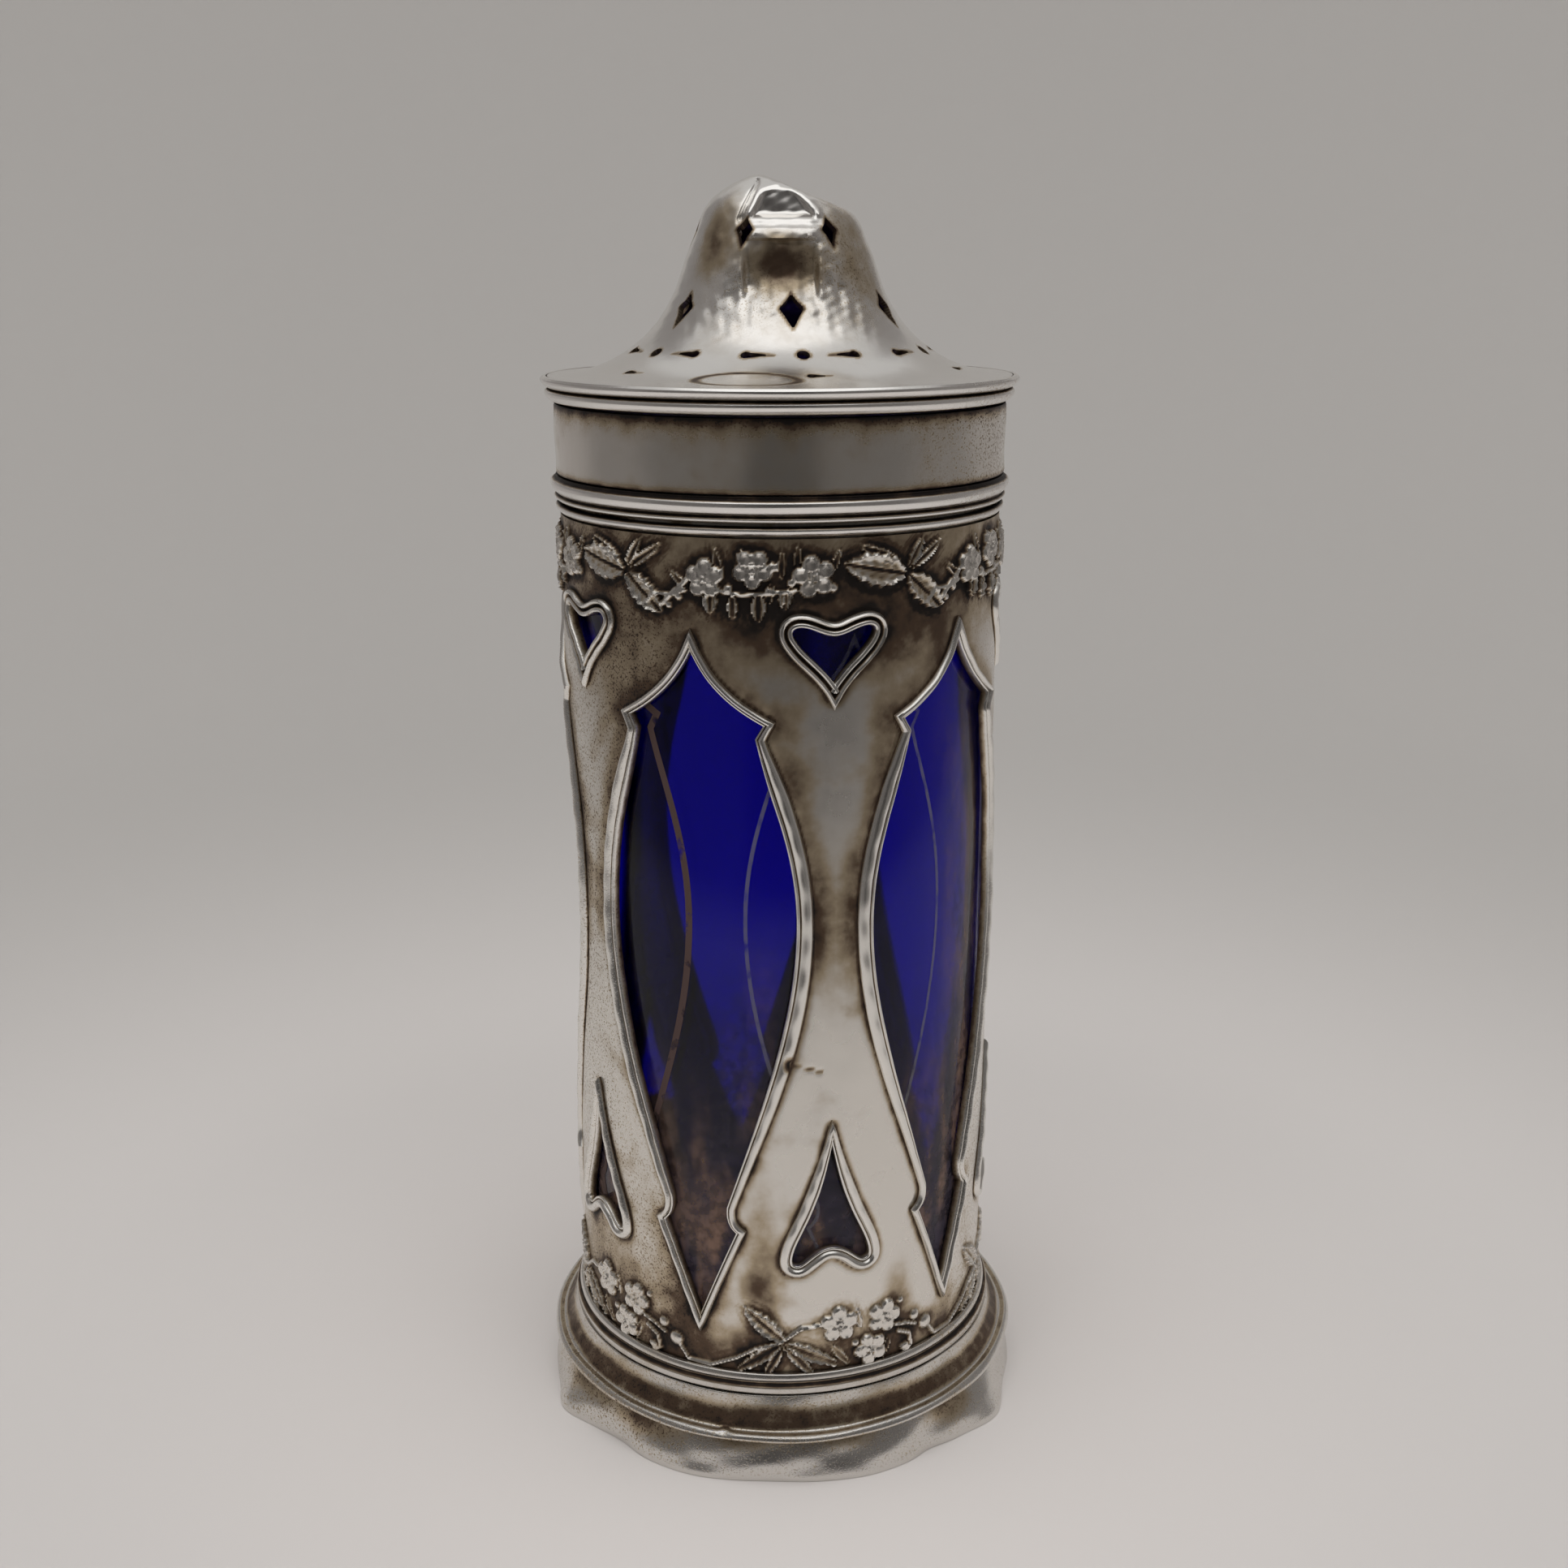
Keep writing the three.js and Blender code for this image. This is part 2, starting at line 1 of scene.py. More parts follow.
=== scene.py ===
# %% [markdown]
# # A pierced silver sugar caster with a blue glass liner
#
# The caster stands on a spreading foot. Its openwork sleeve holds a straight cup of cobalt glass, and a
# pierced cap pushes into the sleeve's mouth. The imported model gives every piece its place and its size. This
# script gives the pieces their fine surface, and the silver its polish, its knocks and its tarnish.
#
# Sizes are in millimetres here and become metres when a mesh is made. Angles run round the caster in degrees
# from its front, which faces -Y, towards +X.

# %% Frame
import math

import bpy
import numpy as np
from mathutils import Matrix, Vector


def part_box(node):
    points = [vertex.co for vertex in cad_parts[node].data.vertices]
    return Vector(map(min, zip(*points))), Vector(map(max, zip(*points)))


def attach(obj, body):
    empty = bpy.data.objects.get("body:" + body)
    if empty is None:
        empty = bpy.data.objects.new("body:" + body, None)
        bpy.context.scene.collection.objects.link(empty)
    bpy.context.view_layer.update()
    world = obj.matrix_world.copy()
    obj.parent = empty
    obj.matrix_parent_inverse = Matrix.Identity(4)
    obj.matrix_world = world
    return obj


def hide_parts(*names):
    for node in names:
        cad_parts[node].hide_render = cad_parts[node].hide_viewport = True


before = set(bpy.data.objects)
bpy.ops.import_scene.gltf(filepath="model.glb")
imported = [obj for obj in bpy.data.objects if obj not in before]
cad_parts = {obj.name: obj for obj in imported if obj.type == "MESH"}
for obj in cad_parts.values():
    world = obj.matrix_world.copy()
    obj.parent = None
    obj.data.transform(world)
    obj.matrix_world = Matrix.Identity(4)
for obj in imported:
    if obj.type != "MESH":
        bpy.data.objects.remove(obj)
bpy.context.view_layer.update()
MM = 0.001


def reach(node):
    """Lowest height, highest height and outer radius of a node, in millimetres."""
    low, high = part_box(node)
    return low.z / MM, high.z / MM, high.x / MM


for name in sorted(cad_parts):
    print(name, [round(size, 2) for size in reach(name)])

# %% [markdown]
# ## Camera
#
# The picture was taken from close by and a little above, so the rings of the cap look flat and the foot looks
# open. A camera near the object shows that, and a long lens from far away would not.

# %% Camera
CAMERA_PLACE = (0.5, -211.1, 136.4)
CAMERA_PITCH = 15.95       # degrees down
CAMERA_ROLL = 0.10
FOCAL, SENSOR = 42.13, 36

camera_data = bpy.data.cameras.new("camera")
camera_data.lens = FOCAL
camera_data.sensor_width = SENSOR
camera_data.clip_start = 0.005
camera_data.clip_end = 20
camera = bpy.data.objects.new("camera", camera_data)
camera.location = [size * MM for size in CAMERA_PLACE]
camera.rotation_euler = (math.radians(90 - CAMERA_PITCH), math.radians(CAMERA_ROLL), 0)
bpy.context.scene.collection.objects.link(camera)
bpy.context.scene.camera = camera
bpy.context.scene.view_settings.view_transform = "Standard"
print("camera at", CAMERA_PLACE, "mm, focal length", FOCAL)

# %% [markdown]
# ## From arrays to a mesh
#
# Every silver piece is a surface worked out with numpy. A mesh wants points, the corners of its faces and
# where each face starts, and `foreach_set` takes whole arrays for all three. A face with four corners whose
# last two are the same point is a triangle. Numbers for each point, such as how tarnished it is, go in as
# attributes that the materials read.


# %% Mesh from arrays
def new_object(name, points, faces, finish, marks=None, sharp=None):
    """Points in mm, faces as rows of four point numbers; marks are {attribute: a number for each point}.
    Faces are shaded smooth, apart from edges that turn more than sharp degrees."""
    mesh = bpy.data.meshes.new(name)
    mesh.vertices.add(len(points))
    mesh.vertices.foreach_set("co", (points * MM).astype(np.float32).ravel())
    keep = np.ones(faces.shape, bool)
    keep[:, 3] = faces[:, 3] != faces[:, 2]
    counts = keep.sum(1)
    mesh.loops.add(int(counts.sum()))
    mesh.loops.foreach_set("vertex_index", faces[keep].astype(np.int32))
    mesh.polygons.add(len(faces))
    mesh.polygons.foreach_set("loop_start", (np.cumsum(counts) - counts).astype(np.int32))
    for mark, numbers in (marks or {}).items():
        layer = mesh.attributes.new(mark, "FLOAT", "POINT")
        layer.data.foreach_set("value", np.asarray(numbers, np.float32))
    mesh.update(calc_edges=True)
    if sharp:
        mesh.shade_smooth()
        mesh.set_sharp_from_angle(angle=math.radians(sharp))
    mesh.materials.append(finish)
    thing = bpy.data.objects.new(name, mesh)
    bpy.context.scene.collection.objects.link(thing)
    print(f"{name}: {len(points)} points, {int((counts - 2).sum())} triangles")
    return thing


def make_piece(name, body, nodes, finish, shape, marks=None, sharp=50):
    """A piece of the caster. Its shape is (points, faces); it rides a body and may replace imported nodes."""
    piece = new_object(name, *shape, finish, marks, sharp)
    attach(piece, body)
    if nodes:
        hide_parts(*nodes)


# %% [markdown]
# ## Turned pieces
#
# Wires, mouldings and bands are turned: a closed profile goes once round the axis. Real edges are never
# sharp, so each corner of the profile is written with a rounding and becomes a short curve. A hand-made ring
# is never quite true either, and a `push` function moves its points a little.


# %% Profiles
def rounded(corners, steps):
    """Corners as rows of (radius, height, rounding). Each is cut back by its rounding along both sides, at
    most 45% of the side, and bridged by a quadratic curve (1-t)^2 A + 2t(1-t) C + t^2 B through corner C."""
    corners = np.array(corners, float)
    middle, rounding = corners[:, :2], corners[:, 2]
    before = np.roll(middle, 1, 0) - middle
    after = np.roll(middle, -1, 0) - middle
    before_length = np.linalg.norm(before, axis=1)
    after_length = np.linalg.norm(after, axis=1)
    back = np.minimum(rounding, 0.45 * before_length) / before_length
    on = np.minimum(rounding, 0.45 * after_length) / after_length
    start = (middle + before * back[:, None])[:, None]
    end = (middle + after * on[:, None])[:, None]
    t = np.linspace(0, 1, steps)[None, :, None]
    curve = (1 - t) ** 2 * start + 2 * t * (1 - t) * middle[:, None] + t**2 * end
    return curve.reshape(-1, 2)


def finer(profile, spacing=0.5):
    """The same closed profile, with extra points on every side that is longer than the spacing."""
    parts = []
    for start, end in zip(profile, np.roll(profile, -1, 0)):
        count = max(1, round(np.linalg.norm(end - start) / spacing))
        parts.append(start + (end - start) * np.arange(count)[:, None] / count)
    return np.concatenate(parts)


def double_area(outline):
    """Twice the area in an outline, below zero where it runs clockwise: the sum of x z' - x' z."""
    x, z = outline.T
    return np.sum(x * np.roll(z, -1) - np.roll(x, -1) * z)


def smooth(x, low, high):
    """0 below low, 1 above high and t^2 (3 - 2t) between."""
    t = np.clip((x - low) / (high - low), 0, 1)
    return t * t * (3 - 2 * t)


def hump(x, width):
    """1 at 0 and fading to both sides: exp(-(x / width)^2)."""
    return np.exp(-((x / width) ** 2))


# %% Round the axis
def round_axis(turn, radius, height):
    """Points at (radius sin turn, -radius cos turn, height), with the turn in degrees from the front."""
    angle = np.radians(turn)
    return np.stack([radius * np.sin(angle), -radius * np.cos(angle), height + 0 * angle], -1)


def around(points):
    """Turn, radius and height of points: round_axis backwards."""
    x, y, z = points.T
    return np.degrees(np.arctan2(x, -y)), np.hypot(x, y), z


def past(turn, place):
    """Degrees from a place to a turn, from -180 to 180."""
    away = turn - place
    return away - 360 * np.round(away / 360)


def grid_faces(rows, columns, rows_close=True, columns_close=True):
    """Faces of a grid of points that closes on itself both ways, one way or neither."""
    i, j = np.mgrid[0:rows - (not rows_close), 0:columns - (not columns_close)]
    i, j = i.ravel(), j.ravel()
    i_next, j_next = (i + 1) % rows, (j + 1) % columns
    corners = [i * columns + j, i * columns + j_next, i_next * columns + j_next, i_next * columns + j]
    return np.stack(corners, 1)


def fan_faces(first, count, tip):
    """Triangles from a closed row of points, which starts at number first, to one tip."""
    here = np.arange(count)
    return np.stack([first + here, first + (here + 1) % count, tip + 0 * here, tip + 0 * here], 1)


def swept(profile, columns, push=None):
    """Points of a profile taken round the axis, one row for each of its points. push(turn, radius, height)
    gives what to add to the radius and to the height of every point."""
    turn, radius = np.meshgrid(np.linspace(0, 360, columns, endpoint=False), profile[:, 0])
    height = np.broadcast_to(profile[:, 1:2], radius.shape)
    if push:
        out, up = push(turn, radius, height)
        radius, height = radius + out, height + up
    return round_axis(turn, radius, height).reshape(-1, 3)


def turned(corners, columns=288, push=None, steps=5):
    """Points and faces of a closed profile, rounded at its corners and taken round the axis."""
    profile = finer(rounded(corners, steps))
    faces = grid_faces(len(profile), columns)
    return swept(profile, columns, push), faces if double_area(profile) > 0 else faces[:, ::-1]


# %% [markdown]
# ## Shader maths in plain sums
#
# A material is a tree of nodes, which is long to write. Wrapping a socket in a small class lets a finish be
# written as a sum: `1 - tarnish * 0.5` adds its Math nodes by itself. Any other node comes from one method,
# which sets the node's own settings first and its sockets after.


# %% Sockets that can be added up
class Link:
    """One output socket of a node tree."""

    def __init__(self, tree, socket):
        self.tree = tree
        self.socket = socket

    def maths(self, operation, first, second):
        return add(self.tree, "ShaderNodeMath", {"operation": operation}, {0: first, 1: second})

    def __add__(self, other):
        return self.maths("ADD", self, other)

    def __sub__(self, other):
        return self.maths("SUBTRACT", self, other)

    def __rsub__(self, other):
        return self.maths("SUBTRACT", other, self)

    def __mul__(self, other):
        return self.maths("MULTIPLY", self, other)

    __radd__ = __add__
    __rmul__ = __mul__

    def clipped(self):
        """The same number, held between 0 and 1."""
        return add(self.tree, "ShaderNodeClamp", {}, {0: self})

    def ramp(self, low, high):
        """0 below low, 1 above high and smooth between."""
        settings = {"interpolation_type": "SMOOTHSTEP"}
        return add(self.tree, "ShaderNodeMapRange", settings, {0: self, 1: low, 2: high})


def add(tree, kind, settings, values, output=0):
    """Adds a node: its settings first, then the values or links of its sockets, and gives one output."""
    node = tree.nodes.new(kind)
    for name, setting in settings.items():
        setattr(node, name, setting)
    for name, value in values.items():
        if isinstance(value, Link):
            tree.links.new(value.socket, node.inputs[name])
        else:
            node.inputs[name].default_value = value
    return Link(tree, node.outputs[output])


def mixed(share, first, second):
    """Colour first where share is 0 and second where it is 1. The colours are four numbers or links."""
    return add(share.tree, "ShaderNodeMix", {"data_type": "RGBA"}, {0: share, 6: first, 7: second}, 2)


def new_finish(name):
    """An empty material and its tree."""
    material = bpy.data.materials.new(name)
    material.use_nodes = True
    material.node_tree.nodes.clear()
    return material, material.node_tree


def finished(material, shader):
    """The material with a shader on its surface."""
    output = shader.tree.nodes.new("ShaderNodeOutputMaterial")
    shader.tree.links.new(shader.socket, output.inputs["Surface"])
    return material


def principled(tree, values):
    return add(tree, "ShaderNodeBsdfPrincipled", {}, values)


def grain(tree, scale, detail=3.0, stretch=(1, 1, 1)):
    """Clouds from 0 to 1 in the object's own space; scale is how many in a metre."""
    space = add(tree, "ShaderNodeTexCoord", {}, {}, "Object")
    placed = add(tree, "ShaderNodeMapping", {}, {0: space, 3: stretch})
    return add(tree, "ShaderNodeTexNoise", {}, {"Vector": placed, "Scale": scale, "Detail": detail})


def mark(tree, name):
    """The number that a mesh carries for each of its points."""
    return add(tree, "ShaderNodeAttribute", {"attribute_name": name}, {}, "Fac")


# %% [markdown]
# ## Silver
#
# Silver is a metal, so its colour lies in its reflections. Handling keeps the high places bright, and sulphur
# turns the low ones first yellow, then brown, and at last nearly black. The mesh says where:
# `tarnish_and_shade` is 0 on rubbed edges and 1 in hollows, and it also carries painted shade in grooves,
# under the cap's rim and beside the beads; `pits` tells how much the surface has been eaten. Noise breaks both
# up, so that no edge of a stain is a clean line. The tarnish is also duller and less metallic.


# %% Silver finishes
CLEAN_SILVER = (0.80, 0.77, 0.72, 1)
PALE_SILVER = (0.92, 0.90, 0.87, 1)
# Tarnish colours, which also lay the painted shade in grooves and under rims.
TARNISH_AND_SHADE = [                # stain from which it shows, stain where it covers, colour
    (0.05, 0.35, (0.50, 0.41, 0.29, 1)), (0.25, 0.65, (0.115, 0.075, 0.050, 1)),
    (0.6, 1.0, (0.022, 0.017, 0.015, 1)),
]


def silver(name, polish=0.2, dents=0.12, scratches=0.06, haze=0.10, clean=CLEAN_SILVER):
    """The stain is the mesh's tarnish_and_shade mark times two noises, plus the eaten pits and a haze. It lays
    the stain colours over one another, roughens the polish and makes the surface up to a third less metallic.
    Dents, scratches and pits make the bump."""
    material, tree = new_finish(name)
    clouds = grain(tree, 160, 4)
    specks = grain(tree, 4200, 3)
    hammered = grain(tree, 230, 1.5)
    lines = grain(tree, 900, 3, (1, 1, 0.12))
    mottle = grain(tree, 620, 4)
    eaten = mark(tree, "pits") * specks.ramp(0.52, 0.68)
    broken = 0.15 + clouds * 0.6 + mottle * 1.1
    stain = (mark(tree, "tarnish_and_shade") * broken + eaten * 0.5 + clouds.ramp(0.5, 0.75) * haze).clipped()
    colour = clean
    for low, high, tarnish_and_shade in TARNISH_AND_SHADE:
        colour = mixed(stain.ramp(low, high), colour, tarnish_and_shade)
    height = hammered * dents + lines * scratches - eaten * 0.10
    bump = add(tree, "ShaderNodeBump", {}, {"Strength": 0.35, "Distance": 0.0006, "Height": height}, "Normal")
    return finished(material, principled(tree, {
        "Base Color": colour,
        "Metallic": 1 - stain * 0.35,
        "Roughness": (polish + stain * 0.32 + clouds * 0.08).clipped(),
        "Normal": bump,
    }))


bright_silver = silver("bright_silver", 0.14, 0.10)
bead_bright = silver("bead_bright", 0.18, 0.10, haze=0.04, clean=PALE_SILVER)
bead_silver = silver("bead_silver", 0.2, 0.10, haze=0.05, clean=(0.86, 0.84, 0.80, 1))
dome_silver = silver("dome_silver", 0.17, 0.16, haze=0.05, clean=PALE_SILVER)
sleeve_silver = silver("sleeve_silver", 0.22, 0.22, 0.10, 0.2)
worn_silver = silver("worn_silver", 0.17, 0.30, 0.14, 0.06, (0.70, 0.68, 0.65, 1))
inner_silver = silver("inner_silver", 0.38, 0.2, haze=0.8)
print("silver finishes:", [material.name for material in bpy.data.materials if "silver" in material.name])

# %% [markdown]
# ## Stains
#
# A stain is a soft patch round one place on the caster, wide in degrees and tall in millimetres. A table of
# them, one row for each, is easier to set against a photograph than a painted picture.


# %% Stain patches
def patch(turn, height, place, wide, tall):
    """1 at a place and fading round it: exp(-(distance / size)^2), with a size across and a size upwards."""
    return np.exp(-((past(turn, place[0]) / wide) ** 2) - ((height - place[1]) / tall) ** 2)


def patches(turn, height, rows):
    """Sum of stains, each a row of how strong, the place's turn and height, how wide and how tall."""
    return sum(share * patch(turn, height, place, wide, tall) for share, *place, wide, tall in rows)


# %% [markdown]
# ## Hand-made unevenness
#
# A soldered cylinder of thin sheet that has been in use for a century isn't round any more. A few slow waves
# round the caster, stronger at middle height, are enough to break the straight reflections. Wall and beads
# use the same waves, so they stay together.


# %% Waves in the sleeve
GROUND = 25.0              # outside of the sleeve's plain wall
WALL = 0.7
sleeve_low, sleeve_high, _ = reach("sleeve")


def waves(turn, height):
    """How far the sleeve's wall is pushed out, in mm: sines of whole turns, so that it closes on itself."""
    a = np.radians(turn)
    h = (height - sleeve_low) / (sleeve_high - sleeve_low)
    slow = 0.10 * np.sin(3 * a + 5 * h + 0.7) + 0.07 * np.sin(5 * a - 7 * h + 2.1)
    quick = 0.03 * np.sin(11 * a + 23 * h) + 0.02 * np.sin(17 * a - 31 * h + 1.0)
    return (slow + quick) * np.clip(np.sin(np.pi * h), 0, 1) ** 0.5


# %% [markdown]
# ## Outlines of the openwork
#
# Each window is a pointed arch over a long belly that narrows again to a point, with a small cusp at either
# end of the belly. Between two windows stands a strap with a heart above its waist and a long inverted heart
# below. Every outline is drawn for its right half with a few Bezier curves and then mirrored.


# %% Curves
def arc(degrees):
    """Length along the wall of an angle."""
    return math.radians(degrees) * GROUND


def bezier(points, spacing=0.25):
    """Points along a Bezier curve of any degree by repeated mixing of neighbours, last point left out."""
    points = np.array(points, float)
    count = max(2, int(np.linalg.norm(np.diff(points, axis=0), axis=1).sum() / spacing))
    t = np.linspace(0, 1, count, endpoint=False)[:, None, None]
    mixing = np.broadcast_to(points, (count, *points.shape))
    while mixing.shape[1] > 1:
        mixing = (1 - t) * mixing[:, :-1] + t * mixing[:, 1:]
    return mixing[:, 0]


def clockwise(outline):
    return outline if double_area(outline) < 0 else outline[::-1]


def whole(size, foot, start, *stretches):
    """A closed outline from its right half. Each stretch lists the control points that follow on the last
    stretch's end; all are multiplied by size and lifted by foot. The left half mirrors the right one."""
    parts = []
    for stretch in stretches:
        parts.append(bezier(np.array([start, *stretch]) * size + [0, foot]))
        start = stretch[-1]
    half = np.concatenate([*parts, [np.multiply(start, size) + [0, foot]]])
    return clockwise(np.concatenate([half, half[1:-1][::-1] * [-1, 1]]))


# %% Window and heart outlines
REPEATS = 5
WINDOW_TURN = -22.0        # middle of the first window
STEP = 360 / REPEATS
STRAP_TURN = WINDOW_TURN + STEP / 2
HEART_SHIFT = [0.35, 0]    # the hearts stand a little to the left of their straps' middles

window_top = sleeve_high - 10.6
window_bottom = sleeve_low + 7.5
upper_cusp = window_top - 8.8
upper_throat = upper_cusp - 1.7
lower_cusp = window_bottom + 12.6
lower_throat = lower_cusp + 2.9
belly = lower_throat + 0.62 * (upper_throat - lower_throat)
up, down = upper_throat - belly, belly - lower_throat

window = whole(
    (arc(1), 1), 0, (0, window_top),
    [(4.5, window_top - 5.45), (19.5, upper_cusp)],
    [(17.3, upper_throat)],
    [(20.8, upper_throat - up * 0.26), (28.2, belly + up * 0.43), (28.2, belly)],
    [(28.2, belly - down * 0.35), (18, lower_throat + down * 0.34), (9, lower_throat)],
    [(8.4, lower_cusp + 0.87), (11.6, lower_cusp)],
    [(6, window_bottom + 6.8), (0, window_bottom)],
)
heart = whole(
    (5.2, 8.2), sleeve_high - 16.6, (0, 0),
    [(0.26, 0.32), (0.68, 0.46), (0.9, 0.68)],
    [(1.1, 0.85), (0.96, 1), (0.7, 1)],
    [(0.42, 1), (0.22, 0.88), (0, 0.88)],
) - HEART_SHIFT
spade = whole(
    (5.2, 17.6), sleeve_low + 15.4, (0, 1),
    [(0.13, 0.83), (0.3, 0.62), (0.65, 0.375)],
    [(0.85, 0.24), (1.23, 0.04), (0.86, 0)],
    [(0.54, -0.04), (0.36, 0.11), (0, 0.11)],
) - HEART_SHIFT
print("points in the outlines:", len(window), len(heart), len(spade))

# %% [markdown]
# ## Distance to an outline
#
# Three things need to know how far a point of the wall lies from a window: the cut, the groove beside the
# bead and the tarnish in that groove. The distance is signed, below zero inside the opening, and comes with
# the nearest point of the outline, onto which the edge of the cut can be drawn.


# %% Signed distance
def nearest(points, outline, block=4096):
    """Signed distance to a closed outline and its nearest point: each point is dropped onto every side,
    the drop is held within the side, and a ray to the right that crosses the sides an odd number of times
    tells that the point is inside."""
    start, side = outline, np.roll(outline, -1, 0) - outline
    length = np.maximum((side**2).sum(1), 1e-12)
    distances, feet = np.empty(len(points)), np.empty((len(points), 2))
    for first in range(0, len(points), block):
        chosen = points[first:first + block, None]
        along = np.clip(((chosen - start) * side).sum(2) / length, 0, 1)
        foot = start + along[..., None] * side
        gap = ((chosen - foot) ** 2).sum(2)
        best = gap.argmin(1)
        rows = np.arange(len(best))
        above = chosen[..., 1] > start[:, 1]
        above_next = chosen[..., 1] > start[:, 1] + side[:, 1]
        steep = np.where(side[:, 1] == 0, 1e-12, side[:, 1])
        meets = start[:, 0] + (chosen[..., 1] - start[:, 1]) / steep * side[:, 0]
        inside = ((above != above_next) & (chosen[..., 0] < meets)).sum(1) % 2 == 1
        distances[first:first + block] = np.sqrt(gap[rows, best]) * np.where(inside, -1, 1)
        feet[first:first + block] = foot[rows, best]
    return distances, feet


# %% [markdown]
# ## Walls from sheets
#
# The sleeve and the dome are thin sheet metal with holes. Both start as a grid of points. Faces whose middle
# lies in a hole go, and the points left along the edge are drawn onto the hole's outline, which makes a clean
# cut. Then the sheet gets its thickness: each point has a twin further in, and a strip of faces closes every
# open edge.

# %% Cutting
FAR = 9.0                  # stands for any distance that doesn't matter, in mm


def kept(points, faces, *marks):
    """Leaves out points that no face uses, with their marks, and numbers the faces again."""
    used, numbers = np.unique(faces, return_inverse=True)
    return (points[used], numbers.reshape(faces.shape), *[values[used] for values in marks])


def pierced(flat, faces, holes):
    """flat has a place on the unrolled sheet for each point. A hole is its middle, the mm in one unit of
    flat's first number, and its outline in mm round the middle. Gives the new places, the faces that stay,
    and how far each point is from the nearest hole's edge."""
    flat = flat.copy()
    margin = np.full(len(flat), FAR)
    for middle, scale, outline in holes:
        local = np.stack([past(flat[:, 0], middle[0]) * scale, flat[:, 1] - middle[1]], 1)
        near = np.flatnonzero(((local > outline.min(0) - 1) & (local < outline.max(0) + 1)).all(1))
        distance, foot = np.full(len(flat), FAR), local.copy()
        distance[near], foot[near] = nearest(local[near], outline)
        stays = distance[faces].mean(1) > 0
        edge = np.intersect1d(faces[stays], faces[~stays])
        flat[edge] = foot[edge] / [scale, 1] + middle
        faces = faces[stays]
        margin = np.minimum(margin, np.abs(distance))
    return flat, faces, margin


# %% Thickness
def normals_of(points, faces):
    """Sum at each point of the crossed diagonals of its faces, made one long."""
    crossed = np.cross(points[faces[:, 2]] - points[faces[:, 0]], points[faces[:, 3]] - points[faces[:, 1]])
    total = np.stack([
        np.bincount(faces.ravel(), np.repeat(crossed[:, axis], 4), len(points)) for axis in range(3)
    ], 1)
    return total / np.maximum(np.linalg.norm(total, axis=1, keepdims=True), 1e-12)


def thickened(points, faces, depth):
    """Twins at point - depth * normal, faces on them turned round, and a strip along every edge that only
    one face uses."""
    count = len(points)
    twins = points - normals_of(points, faces) * depth
    start, end = faces.ravel(), np.roll(faces, -1, 1).ravel()
    real = start != end
    start, end = start[real], end[real]
    open_edge = ~np.isin(start * count + end, end * count + start)
    start, end = start[open_edge], end[open_edge]
    strip = np.stack([end, start, start + count, end + count], 1)
    inner = faces[:, ::-1] + count
    triangle = faces[:, 3] == faces[:, 2]
    inner[triangle] = faces[triangle][:, [1, 0, 2, 2]] + count
    return np.concatenate([points, twins]), np.concatenate([faces, inner, strip])


# %% [markdown]
# ## Chased flowers
#
# Two garlands run round the sleeve, one under its mouth and one above the foot. They are raised from behind
# and then chased from the front, so a leaf is a low dome with a sunk midrib and a toothed edge, and a flower
# is a ring of small bosses. Each is a height over the unrolled wall, and where several meet, the highest
# wins. All places are an angle and a height, and the pattern comes back every 72 degrees.


# %% Leaves
def beside(turn, place):
    """Distance along the wall from a motif's own angle to the nearest of its repeats."""
    return np.radians((turn - place + STEP / 2) % STEP - STEP / 2) * GROUND


def leaf(turn, height, base, tip, width, rise=0.6, teeth=6):
    """Along the leaf u runs from 0 to 1; its edge stands at half the width times sin(pi u^0.85)^0.7, toothed.
    Across it, with s = v / edge, the height is a low vault 0.4 sqrt(1 - s^2) plus a rim
    0.6 exp(-((s - 0.76) / 0.18)^2), less a groove along the midrib and shallow veins."""
    s, h = beside(turn, base[0]), height - base[1]
    run = math.radians(tip[0] - base[0]) * GROUND
    climb = tip[1] - base[1]
    length = math.hypot(run, climb)
    u = (s * run + h * climb) / length**2
    v = (h * run - s * climb) / length
    held = np.clip(u, 0, 1)
    edge = width / 2 * np.sin(np.pi * held**0.85) ** 0.7 * (1 + 0.09 * np.sin(2 * np.pi * teeth * held))
    share = np.abs(v) / np.maximum(edge, 1e-6)
    vault = 0.4 * np.sqrt(np.clip(1 - share**2, 0, 1)) + 0.6 * hump(share - 0.76, 0.18)
    blade = np.where((u > 0) & (u < 1), vault * smooth(1 - share, 0, 0.2), 0)
    rib = 1 - 0.65 * hump(v, 0.14)
    veins = 1 + 0.06 * np.sin(2 * np.pi * (teeth * held - 0.8 * np.abs(v)))
    return rise * blade * rib * veins


# %% Flowers and stems
def boss(turn, height, place, radius, rise):
    """A ball pressed up from behind: rise times the root of 1 - (distance / radius)^2."""
    square = (beside(turn, place[0]) ** 2 + (height - place[1]) ** 2) / radius**2
    return rise * np.sqrt(np.maximum(1 - square, 0))


def blossom(turn, height, place, ring, petal, rise=0.6, first=18):
    """Five cupped petals on a ring round a small boss that is dimpled in its middle."""
    def dimpled(spot, radius, dimple, depth):
        return boss(turn, height, spot, radius, rise) - boss(turn, height, spot, dimple, rise * depth)

    parts = [dimpled(place, petal * 0.65, petal * 0.3, 0.5)]
    for angle in np.radians(first + 72 * np.arange(5)):
        spot = (place[0] + math.degrees(ring * math.cos(angle) / GROUND), place[1] + ring * math.sin(angle))
        parts.append(dimpled(spot, petal, petal * 0.55, 0.4))
    return np.maximum.reduce(parts)


